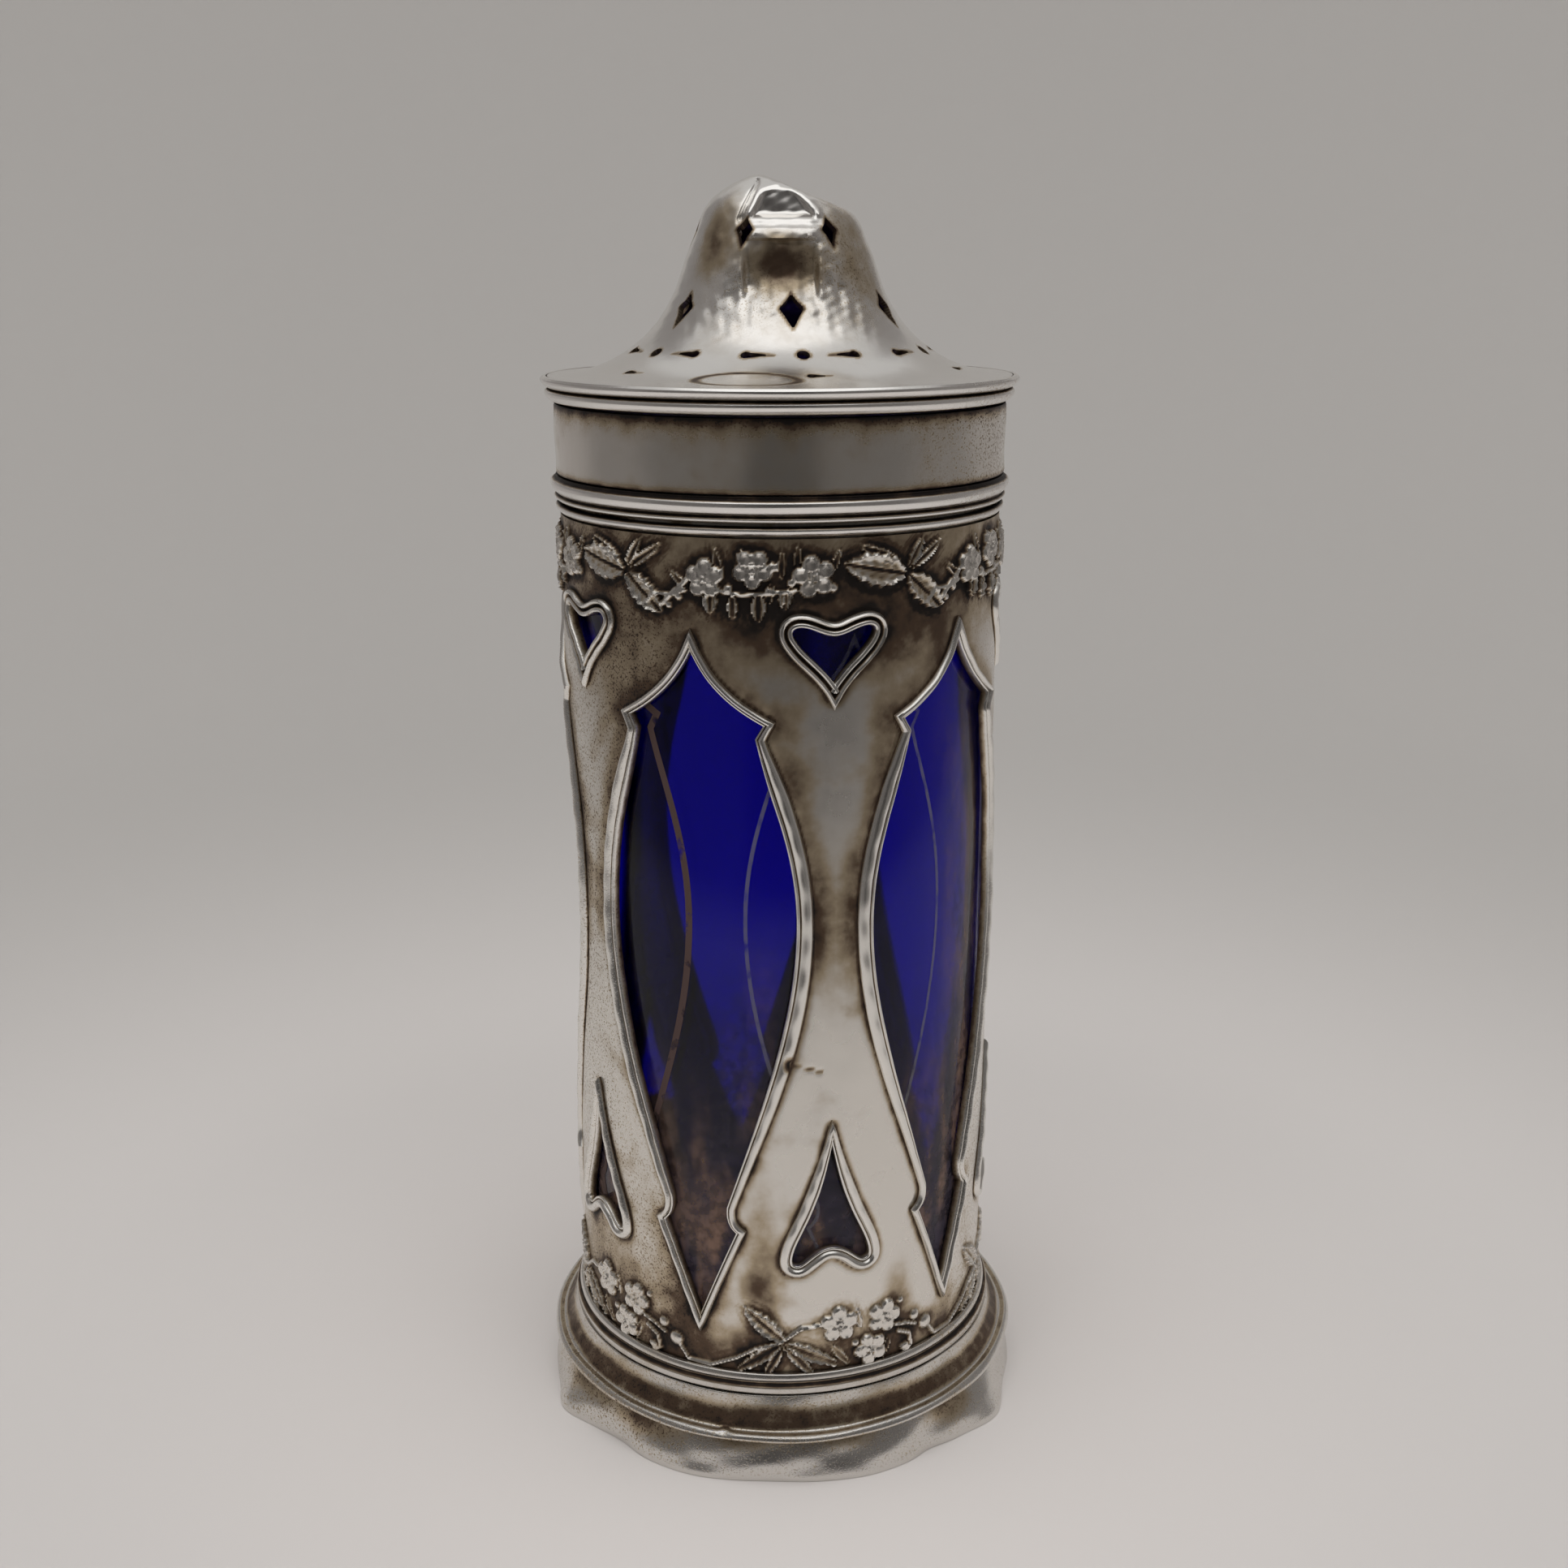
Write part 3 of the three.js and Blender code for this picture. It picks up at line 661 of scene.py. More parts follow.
def stem(turn, height, places, width, rise):
    """Half round line through the places: rise times the root of 1 - (2 distance / width)^2."""
    s = beside(turn, places[0][0])
    line = np.array([(arc(place[0] - places[0][0]), place[1]) for place in places])
    gap = np.full(np.shape(s), FAR)
    for a, b in zip(line[:-1], line[1:]):
        side = b - a
        along = np.clip(((s - a[0]) * side[0] + (height - a[1]) * side[1]) / (side @ side), 0, 1)
        gap = np.minimum(gap, np.hypot(s - a[0] - along * side[0], height - a[1] - along * side[1]))
    return rise * np.sqrt(np.maximum(1 - (2 * gap / width) ** 2, 0))


def bud(turn, height, place, width, drop, rise):
    """A small tulip that hangs from its place: a leaf shape without teeth, broad above."""
    base, tip = (place[0], place[1] + drop / 2), (place[0], place[1] - drop / 2)
    return leaf(turn, height, base, tip, width, rise, 0)


# %% Garlands
GARLANDS = {
    leaf: [
        ((31.4, 105.0), (15.2, 106.4), 3.9, 0.75), ((30.5, 106.0), (18.8, 108.3), 1.6, 0.6),
        ((32.4, 104.8), (43.0, 100.9), 3.1, 0.75), ((32.2, 105.6), (36.8, 108.7), 1.3, 0.65, 0),
        ((33.2, 105.5), (43.0, 108.3), 1.3, 0.65, 0), ((-13.5, 104.6), (-15.8, 108.3), 1.1, 0.5, 0),
        ((-9.8, 105), (-9.3, 108.3), 0.9, 0.5, 0), ((0.4, 105), (0.6, 108.1), 1.0, 0.5, 0),
        ((4.0, 106.0), (4.4, 108.6), 0.9, 0.5, 0), ((12, 105.5), (14.4, 107.9), 1.0, 0.5, 0),
        ((-22, 103.6), (-27.5, 105.6), 1.0, 0.45, 0), ((-1.8, 104.6), (-3.2, 102.0), 1.2, 0.55, 0),
        ((3.0, 104.4), (1.2, 102.2), 1.1, 0.5, 0), ((0.6, 16.4), (-10.0, 20.7), 2.5, 0.65),
        ((0.8, 16.1), (15.7, 12.7), 2.0), ((0.2, 16.1), (-12.2, 12.2), 1.9), ((1.2, 15.6), (8.4, 11.9), 1.7),
        ((0.4, 15.8), (-4.6, 11.6), 1.4), ((21.5, 17.0), (19.5, 20.2), 1.0, 0.45, 0),
        ((30.5, 15.2), (27.6, 12.0), 1.0, 0.45, 0), ((13.2, 15.4), (18.6, 12.4), 1.1, 0.45, 0),
    ],
    blossom: [
        ((-18.0, 104.9), 1.25, 0.95, 0.8), ((-6.4, 106.0), 1.25, 0.92, 0.8, 54),
        ((8.0, 105.2), 1.35, 0.98, 0.8, 30), ((15.4, 18.0), 1.38, 0.98, 0.7),
        ((24.5, 14.0), 1.28, 0.88, 0.7, 40), ((28.5, 17.8), 1.3, 0.92, 0.7, 0),
    ],
    stem: [
        ([(-34, 101.8), (-31, 103.1), (-27, 102.9), (-23, 103.6)], 0.6, 0.45),
        ([(-14, 103.6), (-9, 103.3), (-3, 103.5), (4, 103.8)], 0.55, 0.4),
        ([(43, 102.0), (45.5, 103.2), (48.5, 104.2), (50.5, 105.4)], 0.65, 0.45),
        ([(1, 16.6), (5, 17.9), (8.5, 18.1), (11, 18.3)], 0.6, 0.4),
        ([(33, 15.2), (36.6, 14.4), (37.4, 12.9), (35.6, 12.2), (34.2, 13.0)], 0.65, 0.45),
        ([(39, 15.2), (36, 15.8), (32, 16.2)], 0.6, 0.4),
        ([(42.7, 14.8), (46.4, 12.6), (53, 12.5), (60.1, 13.9), (65.1, 15.3), (72.2, 16.3)], 0.6, 0.4),
    ],
    bud: [
        ((-16.6, 102.4), 1.8, 2.4, 0.75), ((-11.2, 101.9), 1.3, 2.6, 0.75), ((-5.0, 101.9), 1.9, 2.8, 0.75),
        ((1.2, 102.8), 1.6, 2.2, 0.75),
    ],
    boss: [
        ((-12.2, 103.9), 0.55, 0.55), ((-1.8, 106.2), 0.6, 0.6), ((-2.6, 103.7), 0.5, 0.5),
        ((2.8, 104.6), 0.5, 0.5), ((12.6, 104.0), 0.5, 0.5), ((44.6, 101.9), 0.45, 0.4),
        ((47.2, 102.9), 0.5, 0.45), ((35.4, 12.9), 0.55, 0.45), ((42.7, 14.8), 0.95, 0.6),
        ((20.0, 15.2), 0.5, 0.45), ((33.6, 19.2), 0.45, 0.4), ((38.6, 16.4), 0.7, 0.5),
    ],
}


def chased(turn, height):
    """Height of both garlands: the highest of all motifs, each called with its rows of places and sizes."""
    return np.maximum.reduce([motif(turn, height, *row) for motif, rows in GARLANDS.items() for row in rows])


print("motifs in the garlands:", {motif.__name__: len(rows) for motif, rows in GARLANDS.items()})

# %% [markdown]
# ## Sleeve
#
# The sleeve is built as five equal panels, cut where the windows are, so that one panel's arrays serve for
# all five. Rows are closest together in the garlands, where the chasing needs them. The wall dips beside
# every bead, where the punch has followed it round.

# %% Panel grid
PANEL_COLUMNS = 150
GROOVE = 0.14              # depth of the dip beside a bead
BEAD_SLIM, BEAD_BROAD = 1.0, 1.9
HEART_BEAD, SPADE_SLIM = 1.5, 0.85


def rows_between(stops):
    """Heights from (height, spacing) pairs: each stretch is divided evenly at about its own spacing."""
    parts = []
    for (low, spacing), (high, _) in zip(stops[:-1], stops[1:]):
        count = max(1, round((high - low) / spacing))
        parts.append(np.linspace(low, high, count, endpoint=False))
    return np.concatenate([*parts, [stops[-1][0]]])


def window_width(height):
    """The window's bead is broad along the belly and slim at both ends."""
    broad = smooth(height, lower_cusp, lower_cusp + 25.2) * (1 - smooth(height, upper_cusp - 8.8, upper_cusp))
    return BEAD_SLIM + (BEAD_BROAD - BEAD_SLIM) * broad


def heart_width(height):
    return np.full(np.shape(height), HEART_BEAD)


def spade_width(height):
    """The inverted heart's bead grows slim towards its point."""
    return HEART_BEAD + (SPADE_SLIM - HEART_BEAD) * smooth(height, sleeve_low + 24.2, sleeve_low + 33.0)


heights = rows_between([
    (sleeve_low, 0.21), (sleeve_low + 12.5, 0.42), (sleeve_high - 9.5, 0.21), (sleeve_high, 1),
])
turns = np.linspace(-STEP / 2, STEP / 2, PANEL_COLUMNS + 1)
flat = np.stack(np.meshgrid(np.radians(turns) * GROUND, heights), -1).reshape(-1, 2)
panel_faces = grid_faces(len(heights), len(turns), False, False)

openings = [
    (window - [arc(STEP / 2), 0], window_width), (window + [arc(STEP / 2), 0], window_width),
    (heart, heart_width), (spade, spade_width),
]
flat, panel_faces, _ = pierced(flat, panel_faces, [((0, 0), 1, outline) for outline, _ in openings])
flat, panel_faces = kept(flat, panel_faces)
print("panel:", len(flat), "points,", len(panel_faces), "faces")

# %% Panel relief
turn = np.degrees(flat[:, 0] / GROUND) + STRAP_TURN
height = flat[:, 1]
raised = chased(turn, height)
dip = np.zeros(len(flat))
shade = np.zeros(len(flat))
upper_strap = smooth(height, 56, 66) * (1 - smooth(height, 94, 100))
for outline, width_at in openings:
    distance, _ = nearest(flat, outline)
    off_bead = distance - width_at(height) / 2
    dip = np.maximum(dip, hump(off_bead - 0.15, 0.35))
    # Painted shade with tarnish along each bead's outer edge, wider on the straps' upper half.
    shade = np.maximum(shade, np.exp(-np.abs(off_bead) / 0.32))
    if width_at is window_width:
        shade = np.maximum(shade, 0.5 * upper_strap * hump(off_bead, 2.0))
relief = np.where(raised > 0.02, raised, -GROOVE * dip)


def near_relief(spread):
    """How much raised work lies round each point: the mean height at eight places on a circle."""
    angles = np.radians(np.arange(0, 360, 45))
    spots = [(math.degrees(math.cos(a) * spread / GROUND), math.sin(a) * spread) for a in angles]
    return np.mean([chased(turn + across, height + up) for across, up in spots], 0)


crowded = near_relief(0.5) + near_relief(1.1)
hollow = np.clip((crowded - raised * 1.3) * 2.6, 0, 1)
print("highest relief:", round(raised.max(), 2), "mm")

# %% [markdown]
# ### Stains, wear and painted shade on the sleeve
#
# Tarnish gathers where a cloth can't reach: between the flowers and under the cap. Beside the beads the wall
# is darker still, painted shade together with tarnish, and on the straps' upper half that darkening runs
# wider. The left side is eaten into small pits. One bead has a tiny hole with a hairline crack beside it.

# %% Sleeve panels
CRACK = [(3.4, 50.6), (6.5, 50.5), (10.5, 49.8)]
SLEEVE_STAINS = [
    (0.38, 0, 100, 20, 6), (0.4, 30, 98, 14, 6), (0.3, -46, 95, 16, 9),           # under the cap
    (0.28, 25, 87, 4, 6), (0.15, 4, 86, 4, 6), (0.22, 14, 66, 9, 11),             # down the front strap
    (0.55, -26, 20, 9, 8), (0.3, 10, 13, 40, 3), (0.4, -5, 24, 5, 12), (0.4, 33, 19, 5, 5),
    (0.45, -8, 15.5, 6, 3), (0.35, -60, 20, 20, 12),                              # above the foot
]
SLEEVE_PITS = [
    (0.9, -64, 60, 26, 60), (0.7, -38, 94, 12, 8), (0.6, 66, 40, 18, 50), (0.5, -32, 24, 12, 10),
    (0.4, 180, 60, 70, 60),
]


def sleeve_stain(turn, height):
    """Tarnish that belongs to one side of the caster, and more of it under the cap and above the foot."""
    ends = 0.36 * smooth(height, 93, 102) + 0.2 * smooth(-height, -19, -14)
    return ends + patches(turn, height, SLEEVE_STAINS)


def sleeve_pits(turn, height):
    return np.clip(patches(turn, height, SLEEVE_PITS), 0, 1)


crack = stem(turn, height, CRACK, 0.42, 1.0)
for step in range(REPEATS):
    here = turn + step * STEP
    split = 0.6 * crack if step == 0 else 0 * crack
    points = round_axis(here, GROUND + relief + waves(here, height) - 0.12 * split, height)
    ground = (0.45 + 0.4 * smooth(height, 40, 60)) * hollow + 0.8 * shade + sleeve_stain(here, height)
    stain = np.clip(np.maximum(ground * (1 - 0.95 * smooth(raised, 0.12, 0.34)), split), 0, 1)
    marks = {"tarnish_and_shade": np.tile(stain, 2), "pits": np.tile(sleeve_pits(here, height), 2)}
    panel = thickened(points, panel_faces, WALL)
    name = f"sleeve_panel_{step + 1}"
    make_piece(name, "body", ["sleeve"], sleeve_silver, panel, marks, 38)

# %% [markdown]
# ## Beads
#
# A bead follows every outline. Its section has a flat lip towards the opening, then a fine groove and a
# round wire, which is why each window seems to be drawn with two lines; the upper hearts have two full
# ridges. The section is carried along the outline on mitred directions, so that it keeps its width round the
# corners.

# %% Bead sections and paths
BEAD_SECTION = [
    (-1.00, -0.72), (-1.00, 0.10), (-0.90, 0.20), (-0.66, 0.22), (-0.52, 0.10), (-0.44, 0.22), (-0.30, 0.44),
    (-0.05, 0.57), (0.20, 0.60), (0.48, 0.54), (0.74, 0.36), (0.92, 0.12), (1.00, -0.12), (0.98, -0.72),
]
TWIN_SECTION = [
    (-1.00, -0.72), (-1.00, 0.16), (-0.88, 0.38), (-0.62, 0.48), (-0.36, 0.40), (-0.18, 0.14), (-0.04, 0.04),
    (0.10, 0.14), (0.30, 0.44), (0.56, 0.54), (0.80, 0.40), (0.94, 0.12), (1.00, -0.12), (0.98, -0.72),
]
PIT = (2.3, 51.0)          # turn and height of the tiny hole


def mitred(outline):
    """Directions out of a clockwise outline at its points, stretched at corners to at most 2.2."""
    into = outline - np.roll(outline, 1, 0)
    into /= np.linalg.norm(into, axis=1, keepdims=True)
    on = np.roll(into, -1, 0)
    both = into + on
    normal = np.stack([-both[:, 1], both[:, 0]], 1)
    normal /= np.maximum(np.linalg.norm(normal, axis=1, keepdims=True), 1e-9)
    lean = np.maximum((normal * np.stack([-into[:, 1], into[:, 0]], 1)).sum(1), 0.45)
    return normal / lean[:, None]


def spaced(outline, spacing):
    """Points at even steps along an outline, with its sharp corners kept."""
    into = outline - np.roll(outline, 1, 0)
    on = np.roll(into, -1, 0)
    turning = np.abs(np.arctan2(into[:, 0] * on[:, 1] - into[:, 1] * on[:, 0], (into * on).sum(1)))
    corners = np.flatnonzero(turning > 0.5)
    pieces = []
    for first, last in zip(corners, np.roll(corners, -1)):
        stop = last + 1 if last > first else last + 1 + len(outline)
        stretch = outline[np.arange(first, stop) % len(outline)]
        run = np.concatenate([[0], np.cumsum(np.linalg.norm(np.diff(stretch, axis=0), axis=1))])
        even = np.linspace(0, run[-1], max(2, round(run[-1] / spacing)), endpoint=False)
        pieces.append(np.stack([np.interp(even, run, stretch[:, axis]) for axis in (0, 1)], 1))
    return np.concatenate(pieces)


# %% Beads
def repeated(faces, count, copies):
    """The faces of several copies that have count points each."""
    return (faces + np.arange(copies)[:, None, None] * count).reshape(-1, 4)


def beads(name, outline, first, width_at, spacing, section=BEAD_SECTION):
    """One piece with the beads of all five repeats: sections along the outline, half a width to either side of
    it, a little uneven in height. The fine groove in the section and the faces that sink below the wall are
    drawn darker."""
    path = spaced(outline, spacing)
    side, up = np.transpose(section)
    half = width_at(path[:, 1])[:, None] / 2
    across = path[:, None] + mitred(path)[:, None] * (side * half)[..., None]
    middle = first + STEP * np.arange(REPEATS)[:, None, None]
    turn = middle + np.degrees(across[..., 0] / GROUND)
    height = np.broadcast_to(across[..., 1], turn.shape)
    along = np.arange(len(path))[:, None]
    wear = 1 + 0.06 * np.sin(along * 0.9) + 0.05 * np.sin(along * 0.37 + middle)
    rise = np.where(up > 0, up * wear, up)
    pit = patch(turn, height, PIT, 1.4, 0.7)
    points = round_axis(turn, GROUND + rise + waves(turn, height) - 0.45 * pit, height).reshape(-1, 3)
    lip = (up < 0.2) & (side > -0.9) & (side < 0.2) | (up < 0)
    stain = 0.75 * lip + 0.35 * sleeve_stain(turn, height) * (rise < 0.35) + 1.3 * pit
    faces = repeated(grid_faces(len(path), len(side)), across[..., 0].size, REPEATS)
    marks = {"tarnish_and_shade": np.clip(stain, 0, 1).ravel(), "pits": 0.5 * sleeve_pits(turn, height).ravel()}
    make_piece(name, "body", ["sleeve"], bead_silver, (points, faces), marks, 60)


beads("window_beads", window, WINDOW_TURN, window_width, 0.55)
beads("heart_beads", heart, STRAP_TURN, heart_width, 0.35, TWIN_SECTION)
beads("spade_beads", spade, STRAP_TURN, spade_width, 0.4)

# %% [markdown]
# ## Foot
#
# The foot is stamped from one sheet. Decades of knocks have made its rim a soft polygon. Each knock is a
# bump in the radius, strongest at the rim and gone at the ridge. The ridge itself sags at the front.

# %% Foot shape
_, foot_high, _ = reach("foot")
FOOT_RADIUS, RIDGE, SHOULDER, FOOT_BORE = 29.2, 7.0, 26.3, 20.6
FOOT_SHEET = 0.8
FOOT_KNOCKS = [
    (-62, 1.3, 7), (-43, -0.8, 7), (-25, 0.1, 6), (0, -0.6, 12), (22, 0.2, 6), (38, -0.6, 5), (59, 1.5, 9),
    (110, 0.5, 12), (150, -0.6, 14), (205, 0.5, 12), (245, -0.4, 10),
]
SKIRT_OUTSIDE = [          # how far in from the rim, height, rounding
    (0, 0, 0.15), (0, 0.6, 0.3), (0.45, 2.0, 0.9), (1.3, 3.8, 0.9), (2.2, 5.6, 0.4), (0.1, 6.0, 0.25),
    (0, 6.5, 0.3), (0.4, RIDGE, 0.3), (1.35, RIDGE - 0.1, 0.3),
]
SKIRT_INSIDE = [(1.4, 6.2, 0.4), (2.1, 5.6, 0.4), (1.3, 3.8, 0.9), (0.45, 2.0, 0.6), (0, 0, 0.15)]


def foot_push(turn, radius, height):
    """Out by the sum of the knocks, each a hump over its angle, fading from the rim up to the ridge, with a
    fine ripple and a nick in the ridge; down by a broad sag of the ridge at the front."""
    fade = 1 - smooth(height, 0, RIDGE)
    out = sum(size * hump(past(turn, place), spread) for place, size, spread in FOOT_KNOCKS)
    a = np.radians(turn)
    ripple = 0.05 * np.sin(9 * a + height) + 0.04 * np.sin(14 * a - 2 * height)
    ripple = ripple + 0.03 * np.sin(23 * a + 1.7 * height) * np.sin(5 * a + 0.4) * fade
    nick = -0.45 * patch(turn, height, (-13.5, RIDGE), 1.1, 0.5)
    sag = -0.8 * patch(turn, height, (0, RIDGE), 50, 1.8)
    return out * fade + ripple + nick, sag


wall_in = FOOT_RADIUS - FOOT_SHEET
foot_shape = turned([
    *[(FOOT_RADIUS - back, up, rounding) for back, up, rounding in SKIRT_OUTSIDE],
    (SHOULDER + 1.0, RIDGE + 0.7, 0.8), (SHOULDER + 0.35, RIDGE + 1.6, 0.8), (SHOULDER, foot_high, 0.1),
    (FOOT_BORE, foot_high, 0.2), (FOOT_BORE, foot_high - FOOT_SHEET, 0.2),
    (SHOULDER - 0.8, foot_high - FOOT_SHEET, 0.6), (SHOULDER - 0.1, RIDGE + 0.5, 0.6),
    *[(wall_in - back, up, rounding) for back, up, rounding in SKIRT_INSIDE],
], 360, foot_push, 6)
print("foot points:", len(foot_shape[0]))

# %% [markdown]
# Dirt stays in the seam under the ridge and in the hollow ring between the ridge and the shoulder. The seam
# sags with the ridge. The skirt's outside is told from its inside by the direction in which its faces look.

# %% Foot stains
SKIRT_STAINS = [
    (0.45, -56, 4.6, 12, 1.6), (0.5, -36, 4.0, 9, 1.5), (0.45, 46, 4.2, 7, 1.7), (0.25, -8, 4.6, 16, 1.2),
    (0.25, 17, 4.4, 9, 1.2), (0.4, 170, 3.5, 40, 2.0),
]
foot_turn, foot_r, foot_z = around(foot_shape[0])
foot_out = (normals_of(*foot_shape) * foot_shape[0])[:, :2].sum(1) / foot_r
below_ridge = foot_z < RIDGE
outside = smooth(foot_out, -0.2, 0.2) * below_ridge
seam = 5.6 - 0.48 * hump(foot_turn, 50)
undercut = hump(foot_z - seam, 0.3) * outside
in_ring = (foot_z > RIDGE - 1.2) * (foot_r > SHOULDER - 0.1)
in_ring = in_ring * (1 - smooth(foot_r, FOOT_RADIUS - 1.7, FOOT_RADIUS - 1.3))
hollow_ring = (0.12 + 0.5 * smooth(foot_r, SHOULDER + 0.15, SHOULDER + 0.6)) * in_ring
skirt_stain = (patches(foot_turn, foot_z, SKIRT_STAINS) + 0.05) * outside + 0.5 * (1 - outside) * below_ridge
foot_marks = {
    "tarnish_and_shade": np.clip(0.9 * undercut + skirt_stain + hollow_ring, 0, 1),
    "pits": np.clip(0.3 + 0.6 * patch(foot_turn, foot_z, (-50, 4), 25, 4), 0, 1) * (foot_z > 0.6),
}
make_piece("foot_shell", "body", ["foot"], worn_silver, foot_shape, foot_marks)

# %% [markdown]
# ## Rings
#
# The wire inside the foot, the moulding at the seam, the wires of the mouth and the cap, the band and the rim
# are all turned from short profiles. A bead is fullest above its middle, because it has been rubbed and
# pressed down from above, and it slopes away below. Where two curves meet is a groove: dirt stays there, and a
# dark line of painted shade is laid along it too.


# %% Ring maker
def full_above(base, out, low, high, steps=9):
    """Corners of a bead seen in section, for a from -80 to 80 degrees: radius base + (out - base) cos a, and
    height low + (high - low) q^0.55 with q = (1 + sin a) / 2, so that it is fullest at two thirds of its
    height and slopes away below."""
    angles = np.radians(np.linspace(-80, 80, steps))
    share = ((1 + np.sin(angles)) / 2) ** 0.55
    return [(base + (out - base) * math.cos(a), low + (high - low) * q, 0.3) for a, q in zip(angles, share)]


def ring(name, body, slot, node, finish, corners, stain=0.0, grooves=(), wobble=0.03):
    """A turned ring with a slow wobble. Tarnish grows by 0.6 on the faces that lie well inside the ring. At
    the height of each groove a hump, 0.16 mm wide, adds a dark line: painted shade together with the grime
    that stays there."""
    def push(turn, radius, height):
        a = np.radians(turn)
        out = wobble * (np.sin(3 * a + radius) + 0.6 * np.sin(7 * a + 2 * height) + 0.4 * np.sin(12 * a + 1))
        return out, 0.5 * wobble * np.sin(2 * a + 1.3)

    shape = turned(corners, push=push)
    turn, radius, height = around(shape[0])
    dirt_and_shade = stain + 0.6 * smooth(radius.max() - radius, 1.6, 2.2)
    # Painted shade with grime: a dark line along every groove.
    for groove in grooves:
        dirt_and_shade = dirt_and_shade + hump(height - groove, 0.16)
    pits = 0.1 + 0.5 * patch(turn, height, (66, height.mean()), 22, 8)
    make_piece(name, body, [node], finish, shape, {"tarnish_and_shade": np.clip(dirt_and_shade, 0, 1), "pits": pits})


# %% [markdown]
# A wire soldered inside the rim keeps the foot's thin edge from bending, and a stepped moulding covers the
# seam between foot and sleeve. The glass stands on a flat ledge. Nothing shows of it, so it is a guess.

# %% Foot wire, moulding and ledge
wire_low, wire_high, _ = reach("foot_wire")
wire_out = wall_in - 0.25
wire_shape = turned([
    (wire_out, wire_low, 0.1), (wire_out, wire_high, 0.3), (wire_out - 1.2, wire_high, 0.5),
    (wire_out - 1.9, wire_low, 0.2),
], push=foot_push)
wire_marks = {"tarnish_and_shade": np.full(len(wire_shape[0]), 0.5), "pits": np.full(len(wire_shape[0]), 0.3)}
make_piece("foot_wire_ring", "body", ["foot_wire"], inner_silver, wire_shape, wire_marks, 38)

moulding_low, moulding_high, _ = reach("foot_moulding")
bore = GROUND + 0.15
ring("moulding_ring", "body", "silver_sleeve", "foot_moulding", worn_silver, [
    (bore, moulding_low, 0.05), (bore + 1.15, moulding_low, 0.2), (bore + 1.15, moulding_low + 0.9, 0.3),
    (bore + 0.62, moulding_low + 1.0, 0.1), (bore + 0.6, moulding_low + 1.3, 0.1),
    (bore + 0.75, moulding_low + 1.6, 0.3), (bore + 0.5, moulding_high, 0.4), (bore, moulding_high, 0.1),
], 0.1, [moulding_low + 1.05])

ledge_low, ledge_high, _ = reach("liner_ledge")
LEDGE_BORE, ledge_out = 17.0, GROUND - 0.85
ring("ledge_ring", "body", "silver_foot", "liner_ledge", inner_silver, [
    (LEDGE_BORE, ledge_low, 0.2), (ledge_out, ledge_low, 0.1), (ledge_out, ledge_high, 0.1),
    (LEDGE_BORE, ledge_high, 0.2),
], 0.3, wobble=0.0)

# %% [markdown]
# A wire stiffens the sleeve's mouth, and the cap plugs into it with a thin collar. Round the cap's lower edge
# run a thin line and a thick bead, drawn as one strip of wire, bent round and soldered on.

# %% Mouth wire, collar and cap bead
mouth_low, mouth_high, _ = reach("sleeve_top_wire")
inside = GROUND - WALL
ring("mouth_wire", "body", "silver_cap", "sleeve_top_wire", bead_bright, [
    (inside, mouth_low, 0.1), *full_above(GROUND - 0.1, GROUND + 0.46, mouth_low, mouth_high),
    (inside, mouth_high, 0.1),
], grooves=[mouth_low, mouth_high])

collar_low, collar_high, collar_out = reach("cap_collar")
collar_in = collar_out - 0.6
ring("collar_ring", "cap", "silver_cap", "cap_collar", inner_silver, [
    (collar_in, collar_low, 0.15), (collar_out, collar_low, 0.3), (collar_out, collar_high, 0.05),
    (collar_in, collar_high, 0.05),
], 0.15, wobble=0.0)

cap_low, cap_high, _ = reach("cap_wire")
bead_low, bead_high = cap_low + 0.75, cap_high - 0.3
cap_bore = collar_out + 0.15
ring("cap_bead", "cap", "silver_cap", "cap_wire", bead_bright, [
    (cap_bore, cap_low, 0.05), *full_above(GROUND + 0.15, GROUND + 0.62, cap_low, bead_low - 0.05),
    *full_above(GROUND + 0.2, GROUND + 1.0, bead_low, bead_high), (GROUND + 0.4, cap_high, 0.1),
    (cap_bore, cap_high, 0.05),
], grooves=[cap_low, bead_low, bead_high, cap_high - 0.1, cap_high])

# %% [markdown]
# The band is the one plain wall of the cap, so it has to be a little uneven to look real: slow waves and two
# shallow knocks. Under the rim and over the bead runs a ragged dark edge: painted shade from the overhanging
# rim and the bead, together with dirt where the cloth doesn't reach.

# %% Band
BAND_SHEET = 0.8
band_low, band_high, _ = reach("cap_band")
band_out = GROUND + 0.4
band_in = band_out - BAND_SHEET
BAND_KNOCKS = [(0.10, -14, band_low + 4, 5, 5), (0.10, 30, band_low + 3, 8, 5)]


def band_push(turn, radius, height):
    """Slow waves and two shallow knocks in the band."""
    a = np.radians(turn)
    slow = 0.05 * np.sin(4 * a + 0.8 * height) + 0.03 * np.sin(9 * a - height)
    return slow - patches(turn, height, BAND_KNOCKS), 0 * turn


band_shape = turned([
    (band_in, band_low, 0.05), *[(band_out, height, 0.3) for height in np.linspace(band_low, band_high, 9)],
    (band_in, band_high, 0.05),
], push=band_push, steps=3)
band_turn, _, band_z = around(band_shape[0])
under_rim = band_high - band_z
ragged = 1 + 0.25 * np.sin(np.radians(band_turn) * 31) * np.sin(np.radians(band_turn) * 13 + 1)
